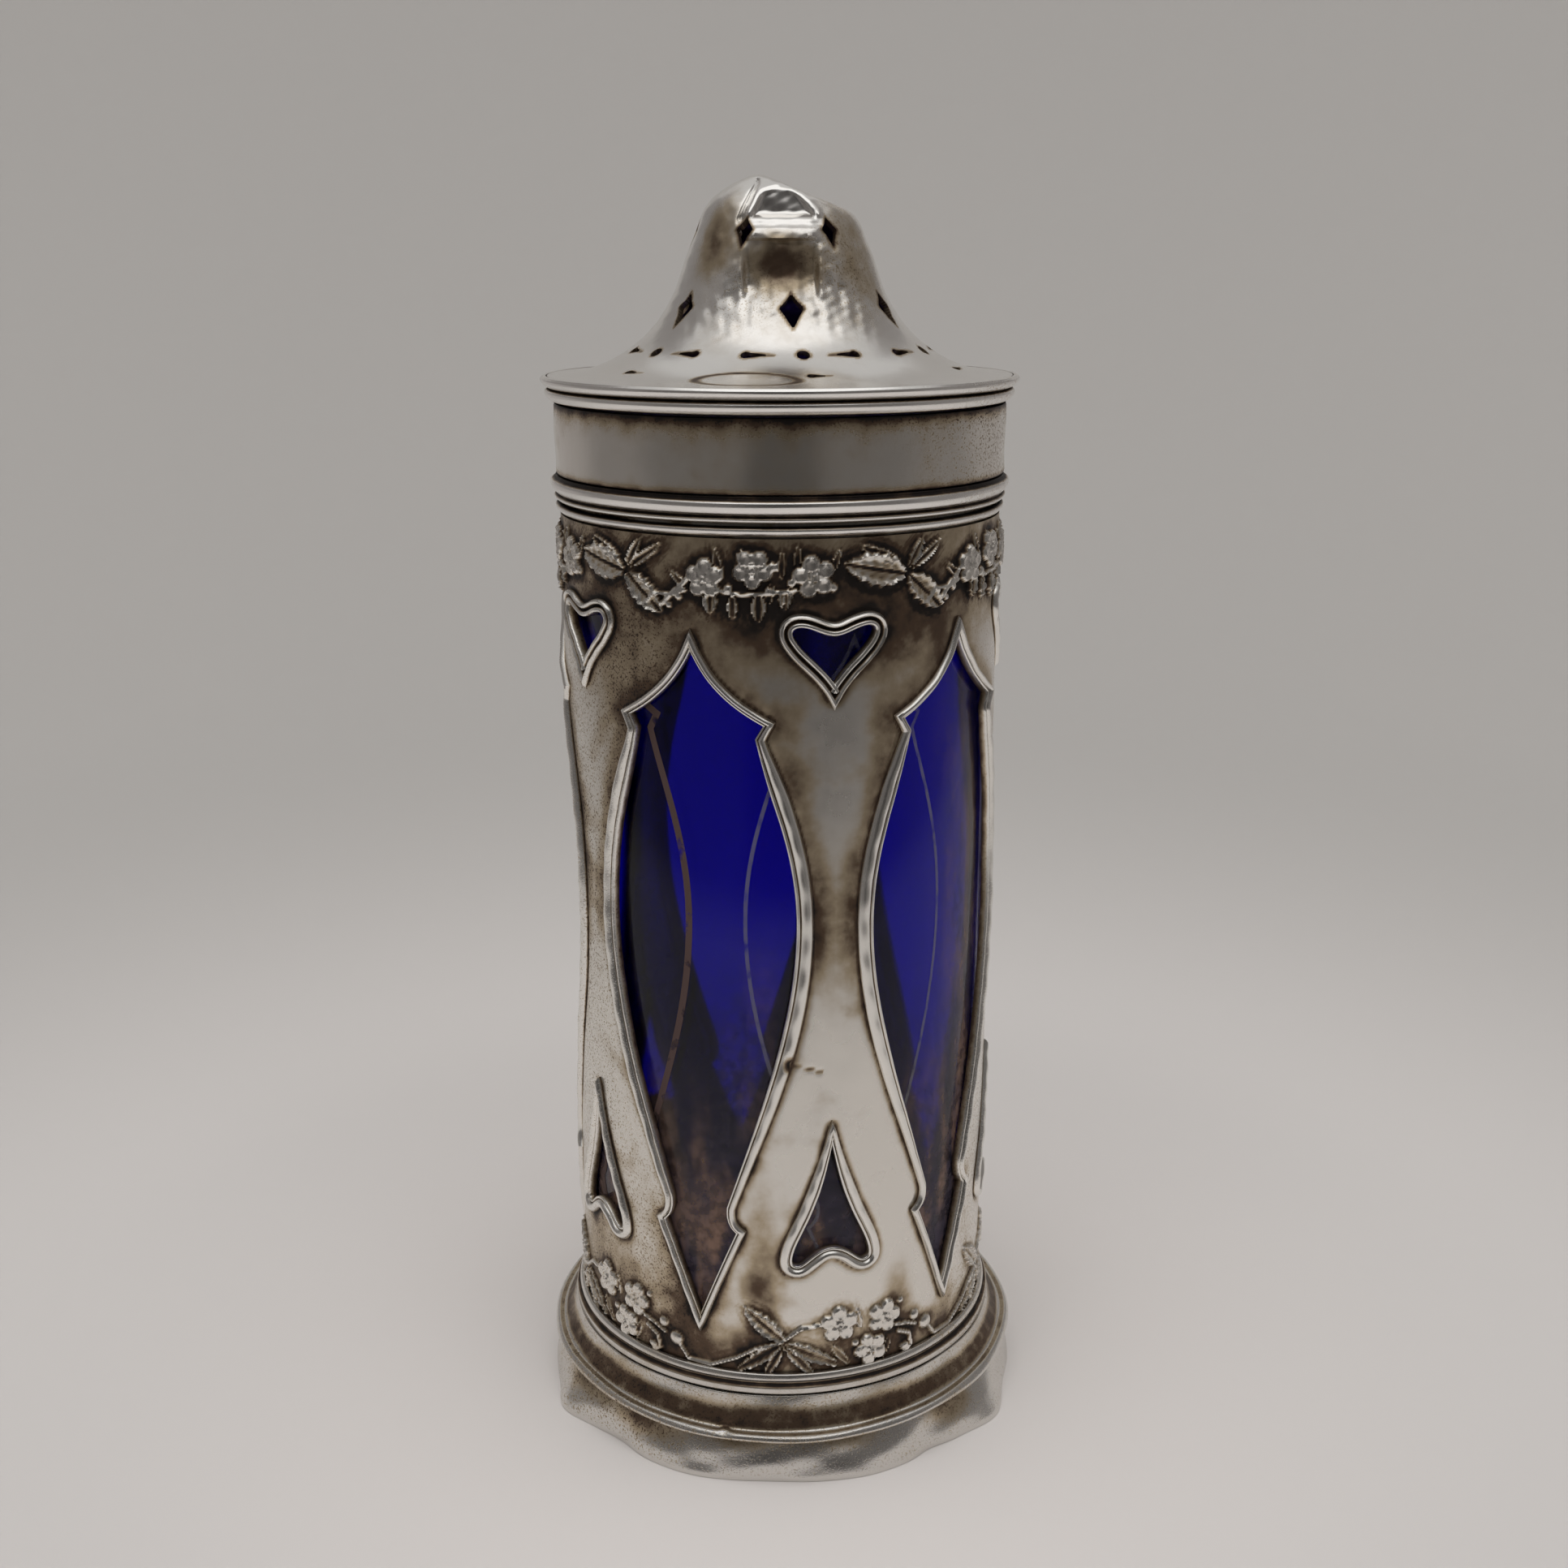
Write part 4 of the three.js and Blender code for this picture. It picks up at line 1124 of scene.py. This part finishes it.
# Painted shade under the overhanging rim and along the bead below, broken up like dirt.
edges = 0.95 * np.exp(-under_rim / (0.6 * ragged)) + 0.8 * np.exp(-(band_z - band_low) / 0.3)
edges = edges + 0.22 * np.exp(-under_rim / 1.6) * patch(band_turn, band_z, (-25, band_high), 40, 9)
band_stain_and_shade = edges + 0.06 + 0.1 * patch(band_turn, band_z, (-5, band_low + 4), 30, 8)
band_pits = 0.9 * patch(band_turn, band_z, (68, band_low + 4), 26, 8) + 0.7 * np.exp(-under_rim / 1.2)
band_marks = {"tarnish_and_shade": np.clip(band_stain_and_shade, 0, 1), "pits": np.clip(band_pits, 0, 1)}
make_piece("cap_band_wall", "cap", ["cap_band"], bright_silver, band_shape, band_marks)

# %% [markdown]
# The rim is a strip with two beads, the upper one wider, and a step inside it, on which the dome's edge lies.

# %% Rim
rim_low, rim_high, rim_out = reach("cap_rim")
seat = rim_high - 0.9
seat_edge = rim_out - 0.65
rim_groove = rim_low + 1.62
ring("cap_rim_beads", "cap", "silver_cap", "cap_rim", bead_bright, [
    (band_in, rim_low, 0.05), *full_above(band_out + 0.1, band_out + 0.95, rim_low, rim_groove - 0.15),
    *full_above(band_out + 0.6, rim_out + 0.02, rim_groove - 0.12, rim_high)[:-2],
    (rim_out - 0.3, rim_high, 0.5), (seat_edge, rim_high + 0.02, 0.1), (seat_edge, seat, 0.05),
    (band_in, seat, 0.05),
], grooves=[rim_low, rim_groove - 0.14])

# %% [markdown]
# ## Dome
#
# The dome is raised from one thin disc: a broad brim that sweeps up into a bell, drilled and then filed into
# diamonds, drops and dots. It has been dropped on its top. The top is flattened towards the right, a crater
# lies in front of it, and below a sharp ledge the front is pushed in. Each knock moves the points of a smooth
# bell, so the sheet stays whole.

# %% Dome profile
dome_low, dome_high, dome_edge = reach("cap_dome")
DOME_WALL = 0.6
BELL = 11.0                # radius where the brim's sweep ends and the bell begins
brim_z = dome_low + 0.7
waist = brim_z + 10.7

sweep = [(dome_edge, brim_z), ((dome_edge + BELL) / 2, brim_z), (BELL + 1.9, waist - 6.1), (BELL, waist)]
crown = [(BELL, waist), (BELL - 1.5, waist + 4.8), (BELL * 0.55, dome_high), (0, dome_high)]
dome_line = np.concatenate([bezier(sweep, 0.1), bezier(crown, 0.1), crown[-1:]])
dome_run = np.concatenate([[0], np.cumsum(np.linalg.norm(np.diff(dome_line, axis=0), axis=1))])
print("dome profile is", round(dome_run[-1], 1), "mm long")


def dome_radius(run):
    """Radius at a length along the profile from the brim's edge."""
    return np.interp(run, dome_run, dome_line[:, 0])


# %% Knocks in the dome
CRATER = clockwise(np.array([
    (-3.2, 140.6), (-1.9, 143.4), (0.3, 144.2), (2.0, 143.3), (3.8, 141.2), (3.9, 140.6),
]))
SLIT_TOP, SLIT_END = (-2.3, 144.2), (-4.1, 140.4)
TOP_NORMAL, TOP_PLANE, TOP_EDGE = (0.37, -0.04, 0.93), 134.3, 0.25
SHOULDER_DENTS = [(0.9, -80, 142.6, 48, 2.4), (0.35, 80, 141, 40, 2)]
WRINKLES = [
    (0.20, -38, 137.8, 7, 3), (0.25, -20, 132.8, 8, 1.6), (0.25, 34, 133.3, 9, 1.5), (0.15, 60, 135, 9, 3),
]
HAMMERED = [(0.045, 0, 132, 60, 12), (0.05, 38, 134, 22, 4)]
DENT_LOW, DENT_HIGH = 131.6, 138.2       # heights of what lies one above another at the front
LIP_LOW, LIP_HIGH = 138.9, 139.5
SLIT_LOW, SLIT_HIGH = 140.4, 144.6


def crushed(points, normal, distance, edge):
    """Points beyond a plane are laid back onto it; near it they are eased over a width of edge."""
    normal = np.array(normal) / np.linalg.norm(normal)
    over = points @ normal - distance
    return points - (edge * np.logaddexp(0, over / edge))[:, None] * normal


def held_between(x, low, high, edge):
    """1 from low to high, falling to 0 over a width of edge outside them."""
    return smooth(x, low - edge, low) * (1 - smooth(x, high, high + edge))


# %% Dented front
def pushed_in(x, y, z):
    """How far the front is pushed back at each place (x, z): a dent below a lip, a flat crater above the lip
    with a raised rim, and a slit beside it."""
    foot = DENT_LOW + 0.5 * np.sin(0.9 * x + 1)
    easing = 1 - 0.75 * smooth(z, DENT_HIGH - 3.4, DENT_HIGH)
    dent = 1.2 * smooth(z, foot, foot + 2.9) * easing * (1 - smooth(z, DENT_HIGH, DENT_HIGH + 0.4))
    dent = dent * held_between(x, -3.3, 3.6, 0.9)
    sag = 0.35 * hump(x - 0.3, 2.2)
    lip = 0.5 * held_between(z, LIP_LOW - sag, LIP_HIGH, 0.5) * held_between(x, -2.9, 3.9, 0.9)
    distance, _ = nearest(np.stack([x, z], 1), CRATER)
    plane = -6.5 + 0.32 * (z - 140.6)
    crater = smooth(-distance, 0, 0.5) * np.maximum(plane - y, 0)
    rim = 0.28 * hump(distance - 0.35, 0.35) * (z > 140.8)
    run = np.clip((SLIT_TOP[1] - z) / (SLIT_TOP[1] - SLIT_END[1]), 0, 1)
    off_slit = x - SLIT_TOP[0] - run * (SLIT_END[0] - SLIT_TOP[0])
    slit = 0.7 * hump(off_slit, 0.3) * held_between(z, SLIT_LOW, SLIT_HIGH, 0.4)
    return (dent - lip + crater - rim + slit) * smooth(-y, 0.5, 3.0)


def knocked(points):
    """The bell after its fall: shoulders out, wrinkles in, a hammered front, the front pushed back, and then
    the top crushed aslant."""
    x, y, z = points.T
    turn, radius, _ = around(points)
    outward = np.stack([x, y, 0 * x], 1) / np.maximum(radius, 0.5)[:, None]
    mottle = np.sin(2.3 * x + 1.1 * z) * np.sin(1.7 * z - 0.9 * x + 1)
    mottle = mottle + 0.7 * np.sin(3.9 * x - 2.3 * z) * np.sin(3.1 * z + x)
    mottle = mottle * (0.02 + patches(turn, z, HAMMERED)) * smooth(z, 127, 131)
    out = patches(turn, z, SHOULDER_DENTS) - patches(turn, z, WRINKLES) + mottle
    moved = points + outward * out[:, None]
    moved[:, 1] += pushed_in(x, y, z)
    return crushed(moved, TOP_NORMAL, TOP_PLANE, TOP_EDGE)


# %% [markdown]
# Sugar falls through six equal groups of holes round the bell. Each hole is drawn flat in millimetres and
# laid on the unrolled sheet, so that it keeps its size where the bell grows narrow.

# %% Piercings
def diamond(width, low, high):
    """Corners of a lozenge: its sides bow inwards a little, as filed ones do."""
    right = [(0, -low), (0.25 * width, -0.42 * low), (0.5 * width, 0), (0.25 * width, 0.42 * high), (0, high)]
    return right + [(-x, y) for x, y in right[3:0:-1]]


def circle(radius, angles=np.arange(0, 360, 24)):
    return [(radius * math.cos(a), radius * math.sin(a)) for a in np.radians(angles)]


def drop(length, width, way):
    """A round head with a tail; way is 1 where the tail points to the right."""
    head = circle(width / 2, np.arange(50, 311, 26))
    return [(way * (x - 0.3 * length), y) for x, y in head] + [(way * 0.7 * length, 0)]


DOME_REPEATS = 6
PIERCINGS = [
    (6, 131.5, diamond(2.7, 2.6, 1.7)), (36, 139.5, diamond(2.0, 2.1, 1.5)), (8.5, 126.9, circle(0.72)),
    (-9, 126.9, drop(3.0, 1.1, 1)), (25, 126.9, drop(3.0, 1.1, -1)), (11, 125.0, drop(2.2, 0.95, 1)),
]


def hole_on_dome(turn, height, shape):
    """A piercing on the sheet, whose places are a turn and a length along the profile: its middle, the mm in
    a degree there, and its outline in mm round the middle."""
    run = np.interp(height, dome_line[:, 1], dome_run)
    x, y = np.transpose(shape)
    outline = np.stack([turn + np.degrees(x / dome_radius(run)), run + y], 1)
    middle = outline.mean(0)
    scale = math.radians(1) * dome_radius(middle[1])
    return middle, scale, clockwise((outline - middle) * [scale, 1])


holes = [
    hole_on_dome(turn + step * 360 / DOME_REPEATS, height, shape)
    for turn, height, shape in PIERCINGS for step in range(DOME_REPEATS)
]
print("holes in the dome:", len(holes))

# %% Dome sheet
DOME_COLUMNS, DOME_ROWS = 380, 116
columns = np.linspace(0, 360, DOME_COLUMNS, endpoint=False)
runs = np.linspace(0, dome_run[-1] - 0.25, DOME_ROWS)
dome_flat = np.stack(np.meshgrid(columns, runs), -1).reshape(-1, 2)
dome_faces = grid_faces(DOME_ROWS, DOME_COLUMNS, False)
dome_flat, dome_faces, margin = pierced(dome_flat, dome_faces, holes)
around_it, along_it = dome_flat.T
bell = round_axis(around_it, dome_radius(along_it), np.interp(along_it, dome_run, dome_line[:, 1]))
top_faces = fan_faces((DOME_ROWS - 1) * DOME_COLUMNS, DOME_COLUMNS, len(bell))
bell = np.concatenate([bell, [[0, 0, dome_high]]])
bell, dome_faces, margin = kept(bell, np.concatenate([dome_faces, top_faces]), np.append(margin, FAR))

# %% Dome piece
OVAL_TURN, OVAL_RADIUS = -9.0, 21.7
OVAL_WIDE, OVAL_TALL = 5.4, 1.9          # half axes
DOME_STAINS = [
    (0.62, 2, waist + 1.4, 20, 2.7), (0.50, -46, waist + 4, 16, 4), (0.30, 55, waist + 3, 25, 6),
    (0.3, 180, waist + 4, 60, 6), (0.15, 0, 130, 60, 4),
]
DOME_PITS = [(0.5, 40, waist + 1, 22, 5), (0.3, -20, waist - 2, 20, 3)]
dome_turn, dome_r, dome_z = around(bell)


def oval_line():
    """A thin dark oval on the brim: a hump, 0.2 mm wide, where q is 1. The number q is the distance from the
    oval's middle in shares of its two half axes."""
    across = np.radians(dome_turn - OVAL_TURN) * OVAL_RADIUS / OVAL_WIDE
    q = np.hypot(across, (dome_r - OVAL_RADIUS) / OVAL_TALL)
    return hump((q - 1) * OVAL_TALL, 0.2) * (dome_z < waist - 5)


dome_stain = patches(dome_turn, dome_z, DOME_STAINS) + 0.5 * hump(margin, 0.18) + 0.8 * oval_line()
dome_marks = {
    "tarnish_and_shade": np.concatenate([dome_stain, 0 * dome_stain + 0.6]),
    "pits": np.tile(patches(dome_turn, dome_z, DOME_PITS), 2),
}
dome_shape = thickened(knocked(bell), dome_faces, DOME_WALL)
make_piece("cap_dome_shell", "cap", ["cap_dome"], dome_silver, dome_shape, dome_marks, 45)

# %% [markdown]
# ## Glass liner
#
# Cobalt glass lets through deep blue and little else. Light that comes from behind crosses two walls before
# it reaches the eye, so each wall is tinted by the root of what both take away. Years of polish have left a
# brown film on the lower half, thickest at the bottom and in streaks above. The film is a second shader, and
# the share of it follows the mesh and some noise.

# %% Glass finish
COBALT = (0.06, 0.04, 0.56, 1)
RESIDUE = (0.27, 0.165, 0.12, 1)
DARK_RESIDUE = (0.055, 0.045, 0.07, 1)


def cobalt_glass():
    material, tree = new_finish("cobalt_glass")
    glass = {"Base Color": COBALT, "Roughness": 0.07, "Transmission Weight": 1.0, "IOR": 1.36}
    speckle = grain(tree, 700, 5)
    streaks = grain(tree, 260, 3, (1, 1, 0.07))
    share = (mark(tree, "film") * (speckle.ramp(0.35, 0.65) * 0.55 + streaks * 0.75)).clipped()
    blotches = grain(tree, 330, 4, (1, 1, 0.3)).ramp(0.40, 0.68)
    film = {"Base Color": mixed(blotches, DARK_RESIDUE, RESIDUE), "Roughness": 0.8}
    both = {0: share, 1: principled(tree, glass), 2: principled(tree, film)}
    return finished(material, add(tree, "ShaderNodeMixShader", {}, both))


# %% Glass cup
glass_low, glass_high, glass_out = reach("glass_liner")
GLASS_WALL, GLASS_BASE, GLASS_COLUMNS = 1.6, 2.4, 192
glass_in = glass_out - GLASS_WALL
glass_floor = glass_low + GLASS_BASE


def glass_cup():
    """The cup's half profile taken round the axis: from the middle of its base outside, over the rim and back
    to the middle inside, with one point at either end."""
    rim = glass_high - 0.8
    stops = np.linspace(glass_low + 1, rim, 24)
    below = glass_low + 0.25
    profile = [(glass_out - 4, below), (glass_out - 0.7, glass_low), (glass_out - 0.2, below)]
    profile += [(glass_out, z) for z in stops]
    lip = np.radians(np.arange(20, 161, 20))
    profile += [(glass_in + 0.8 + 0.8 * math.cos(a), rim + 0.8 * math.sin(a)) for a in lip]
    profile += [(glass_in, z) for z in stops[::-1][:-2]]
    profile += [(glass_in, glass_floor + 1.2), (glass_in - 0.35, glass_floor + 0.35)]
    profile += [(glass_in - 1.2, glass_floor), (6, glass_floor)]
    points = swept(np.array(profile), GLASS_COLUMNS)
    low, top = len(points), len(points) + 1
    faces = np.concatenate([
        grid_faces(len(profile), GLASS_COLUMNS, False),
        fan_faces(0, GLASS_COLUMNS, low)[:, [1, 0, 2, 3]],
        fan_faces((len(profile) - 1) * GLASS_COLUMNS, GLASS_COLUMNS, top),
    ])
    return np.concatenate([points, [[0, 0, below], [0, 0, glass_floor]]]), faces


FILM = [(0.55, 62, 50, 12, 40), (0.25, -6, 46, 8, 16)]
cup = glass_cup()
glass_turn, glass_r, glass_z = around(cup[0])
film = 0.95 * (1 - smooth(glass_z, 20, 54)) + patches(glass_turn, glass_z, FILM)
glass_marks = {"film": np.clip(film * (glass_r > glass_out - 0.1), 0, 1)}
make_piece("glass_cup", "liner", ["glass_liner"], cobalt_glass(), cup, glass_marks, 60)

# %% [markdown]
# Two lines lie on the glass along two windows' outlines, turned by some thirty degrees: one is broader and
# brown, the other thin and pale. They are painted: they stand in for the far openwork's edges, lit from behind
# and seen through the glass. Each is a ribbon that lies on the glass and is clear where the noise says so.

# %% Painted lines on the glass
LINE_TURN = WINDOW_TURN - 31.0
LINE_WIDTHS = np.array([0.85, 0.45])
LINE_LIFT = 0.04           # off the glass
BROWN_LINE, PALE_LINE = (0.085, 0.05, 0.045, 1), (0.17, 0.165, 0.21, 1)


def painted_edge_ribbons():
    """Two rows of points along the window's outline, half the width to either side of it, once per width."""
    path = spaced(window, 0.6)
    offset = LINE_WIDTHS[:, None, None, None] * np.array([-0.5, 0.5])[:, None, None]
    place = path + mitred(path) * offset
    turn = LINE_TURN + STEP * np.arange(len(LINE_WIDTHS))[:, None, None] + np.degrees(place[..., 0] / GROUND)
    points = round_axis(turn, glass_out + LINE_LIFT, place[..., 1]).reshape(-1, 3)
    return points, repeated(grid_faces(2, len(path), False), 2 * len(path), len(LINE_WIDTHS))


def painted_edge_finish():
    material, tree = new_finish("painted_edge_finish")
    broken = (grain(tree, 500, 4).ramp(0.24, 0.52) * mark(tree, "film")).clipped()
    colour = mixed(mark(tree, "pale"), BROWN_LINE, PALE_LINE)
    return finished(material, principled(tree, {"Base Color": colour, "Roughness": 0.8, "Alpha": broken}))


# Painted lines that stand in for the far edges, lit from behind, seen through the glass.
lines = painted_edge_ribbons()
pale = np.repeat([0.0, 1.0], len(lines[0]) // 2)
line_marks = {"film": 1.6 - pale - 0.4 * smooth(lines[0][:, 2], 80, 100), "pale": pale}
make_piece("painted_edge_lines", "liner", (), painted_edge_finish(), lines, line_marks, 60)

# %% [markdown]
# ## Table and light
#
# Silver shows its surroundings, so the studio matters as much as the metal. The caster stands in the middle of
# a wide pale bowl: flat near it, then curved up all round, so that no line shows where table and wall meet.
# The paper is painted lighter round the caster, a painted pool of light that lifts the caster's shadow, and
# darker up the wall, as painted shade. One soft lamp hangs above and before it, and the dome shows that one as
# its flare. A second lamp in the same place fills in the rest and isn't seen in reflections, and the world's
# plain grey is the ceiling.

# %% Bowl
FLAT, CURVE, WALL_TOP = 130.0, 330.0, 430.0
BOWL_COLUMNS = 160


def bowl():
    """Profile: flat to radius FLAT, a quarter circle of radius CURVE, then straight up to WALL_TOP."""
    angle = np.radians(np.linspace(0, 90, 40))
    curve = np.stack([FLAT + CURVE * np.sin(angle), CURVE * (1 - np.cos(angle))], 1)
    profile = np.concatenate([[[0.5, 0], [40, 0], [80, 0]], curve, [[FLAT + CURVE, WALL_TOP]]])
    inner = np.arange(1, BOWL_COLUMNS - 1)
    middle = np.stack([0 * inner, inner + 1, inner, inner], 1)
    faces = np.concatenate([grid_faces(len(profile), BOWL_COLUMNS, False), middle])
    return swept(profile, BOWL_COLUMNS), faces


# A painted pool of light round the caster, the plain table, and painted shade up the wall.
PAINTED_LIGHT_TABLE = (0.70, 0.665, 0.645, 1)
PALE_TABLE = (0.61, 0.585, 0.57, 1)
PAINTED_SHADE_WALL = (0.45, 0.435, 0.42, 1)


def table_paper_painted_light():
    """Three greys that follow one another outwards from the axis: a painted pool of light round the caster,
    the plain paper, and painted shade up the wall.
    """
    material, tree = new_finish("table_paper_painted_light")
    space = add(tree, "ShaderNodeTexCoord", {}, {}, "Object")
    flat_place = add(tree, "ShaderNodeVectorMath", {"operation": "MULTIPLY"}, {0: space, 1: (1, 1, 0)})
    away = add(tree, "ShaderNodeVectorMath", {"operation": "LENGTH"}, {0: flat_place}, "Value")
    paper = mixed(away.ramp(0.03, 0.10), PAINTED_LIGHT_TABLE, PALE_TABLE)
    paper = mixed(away.ramp(0.11, 0.25), paper, PAINTED_SHADE_WALL)
    return finished(material, principled(tree, {"Base Color": paper, "Roughness": 0.9}))


floor = new_object("floor", *bowl(), table_paper_painted_light(), sharp=80)


# %% Lamps
def soft_lamp(name, place, aim, size, power):
    """A rectangular lamp at place that faces aim; size is (wide, tall) and power is in watts."""
    data = bpy.data.lights.new(name, "AREA")
    data.shape = "RECTANGLE"
    data.size, data.size_y = size[0] * MM, size[1] * MM
    data.energy = power
    lamp = bpy.data.objects.new(name, data)
    lamp.location = [size * MM for size in place]
    away = lamp.location - Vector([size * MM for size in aim])
    lamp.rotation_euler = away.to_track_quat("Z", "Y").to_euler()
    bpy.context.scene.collection.objects.link(lamp)
    return lamp


soft_lamp("ceiling_lamp", (20, -160, 690), (20, -160, 0), (600, 500), 0.50)
fill = soft_lamp("fill_lamp", (0, -150, 690), (0, 0, 0), (600, 480), 2.48)
fill.visible_glossy = False

world = bpy.data.worlds.new("studio")
world.use_nodes = True
bpy.context.scene.world = world
sky = world.node_tree.nodes["Background"]
sky.inputs["Color"].default_value = (0.55, 0.54, 0.53, 1)
sky.inputs["Strength"].default_value = 0.9
print("lamps:", [lamp.name for lamp in bpy.data.lights])

# %% [markdown]
# The room beyond the table is darker than the table, darkest straight ahead. Only reflections show it, as a
# screen that lies just over the outer part of the bowl. It gives off a faint light of its own and catches
# none.

# %% Room
ROOM_GAP, ROOM_HEIGHT = 2.0, 620.0
ROOM_EDGE = ((0, 174), (45, 180), (90, 205), (150, 270))
ROOM_LIGHT = ((0, 0.05), (14, 0.05), (22, 0.11), (60, 0.12), (75, 0.18), (98, 0.18), (114, 0.28), (150, 0.34))
TABLE_LIGHT = 0.45


def by_turn(turn, table):
    """Straight lines between the (turn, number) pairs of a table, the same to the left and to the right."""
    return np.interp(np.abs(turn), *np.transpose(table))


def room_screen():
    """The bowl's profile ROOM_GAP further in, from the table's edge up to ROOM_HEIGHT, for turns from -150 to
    150 degrees. Its light starts as the table's own and falls to the room's within 25 mm."""
    turn = np.linspace(-150, 150, 121)
    edge = by_turn(turn, ROOM_EDGE)
    start = np.arcsin((edge - FLAT) / (CURVE - ROOM_GAP))
    angle = start + np.linspace(0, 1, 40)[:, None] * (np.pi / 2 - start)
    radius = FLAT + (CURVE - ROOM_GAP) * np.sin(angle)
    height = CURVE - (CURVE - ROOM_GAP) * np.cos(angle)
    radius = np.concatenate([radius, radius[-1:] + np.zeros((8, 1))])
    height = np.concatenate([height, np.linspace(CURVE + 20, ROOM_HEIGHT, 8)[:, None] + 0 * turn])
    light = by_turn(turn, ROOM_LIGHT) * (1 - 0.4 * smooth(height, 90, 220) * smooth(np.abs(turn), 95, 115))
    light = light + (TABLE_LIGHT - light) * (1 - smooth(radius, edge, edge + 25))
    points = round_axis(turn + 0 * radius, radius, height).reshape(-1, 3)
    return points, grid_faces(*radius.shape, False, False), light.ravel()


def room_light():
    material, tree = new_finish("room_light")
    glow = mixed(mark(tree, "light"), (0, 0, 0, 1), (1.05, 0.98, 0.94, 1))
    return finished(material, add(tree, "ShaderNodeEmission", {}, {"Color": glow, "Strength": 1.0}))


room_points, room_faces, light = room_screen()
room = new_object("room", room_points, room_faces, room_light(), {"light": light})
room.visible_camera = False
room.visible_diffuse = False
room.visible_shadow = False
room.visible_transmission = False
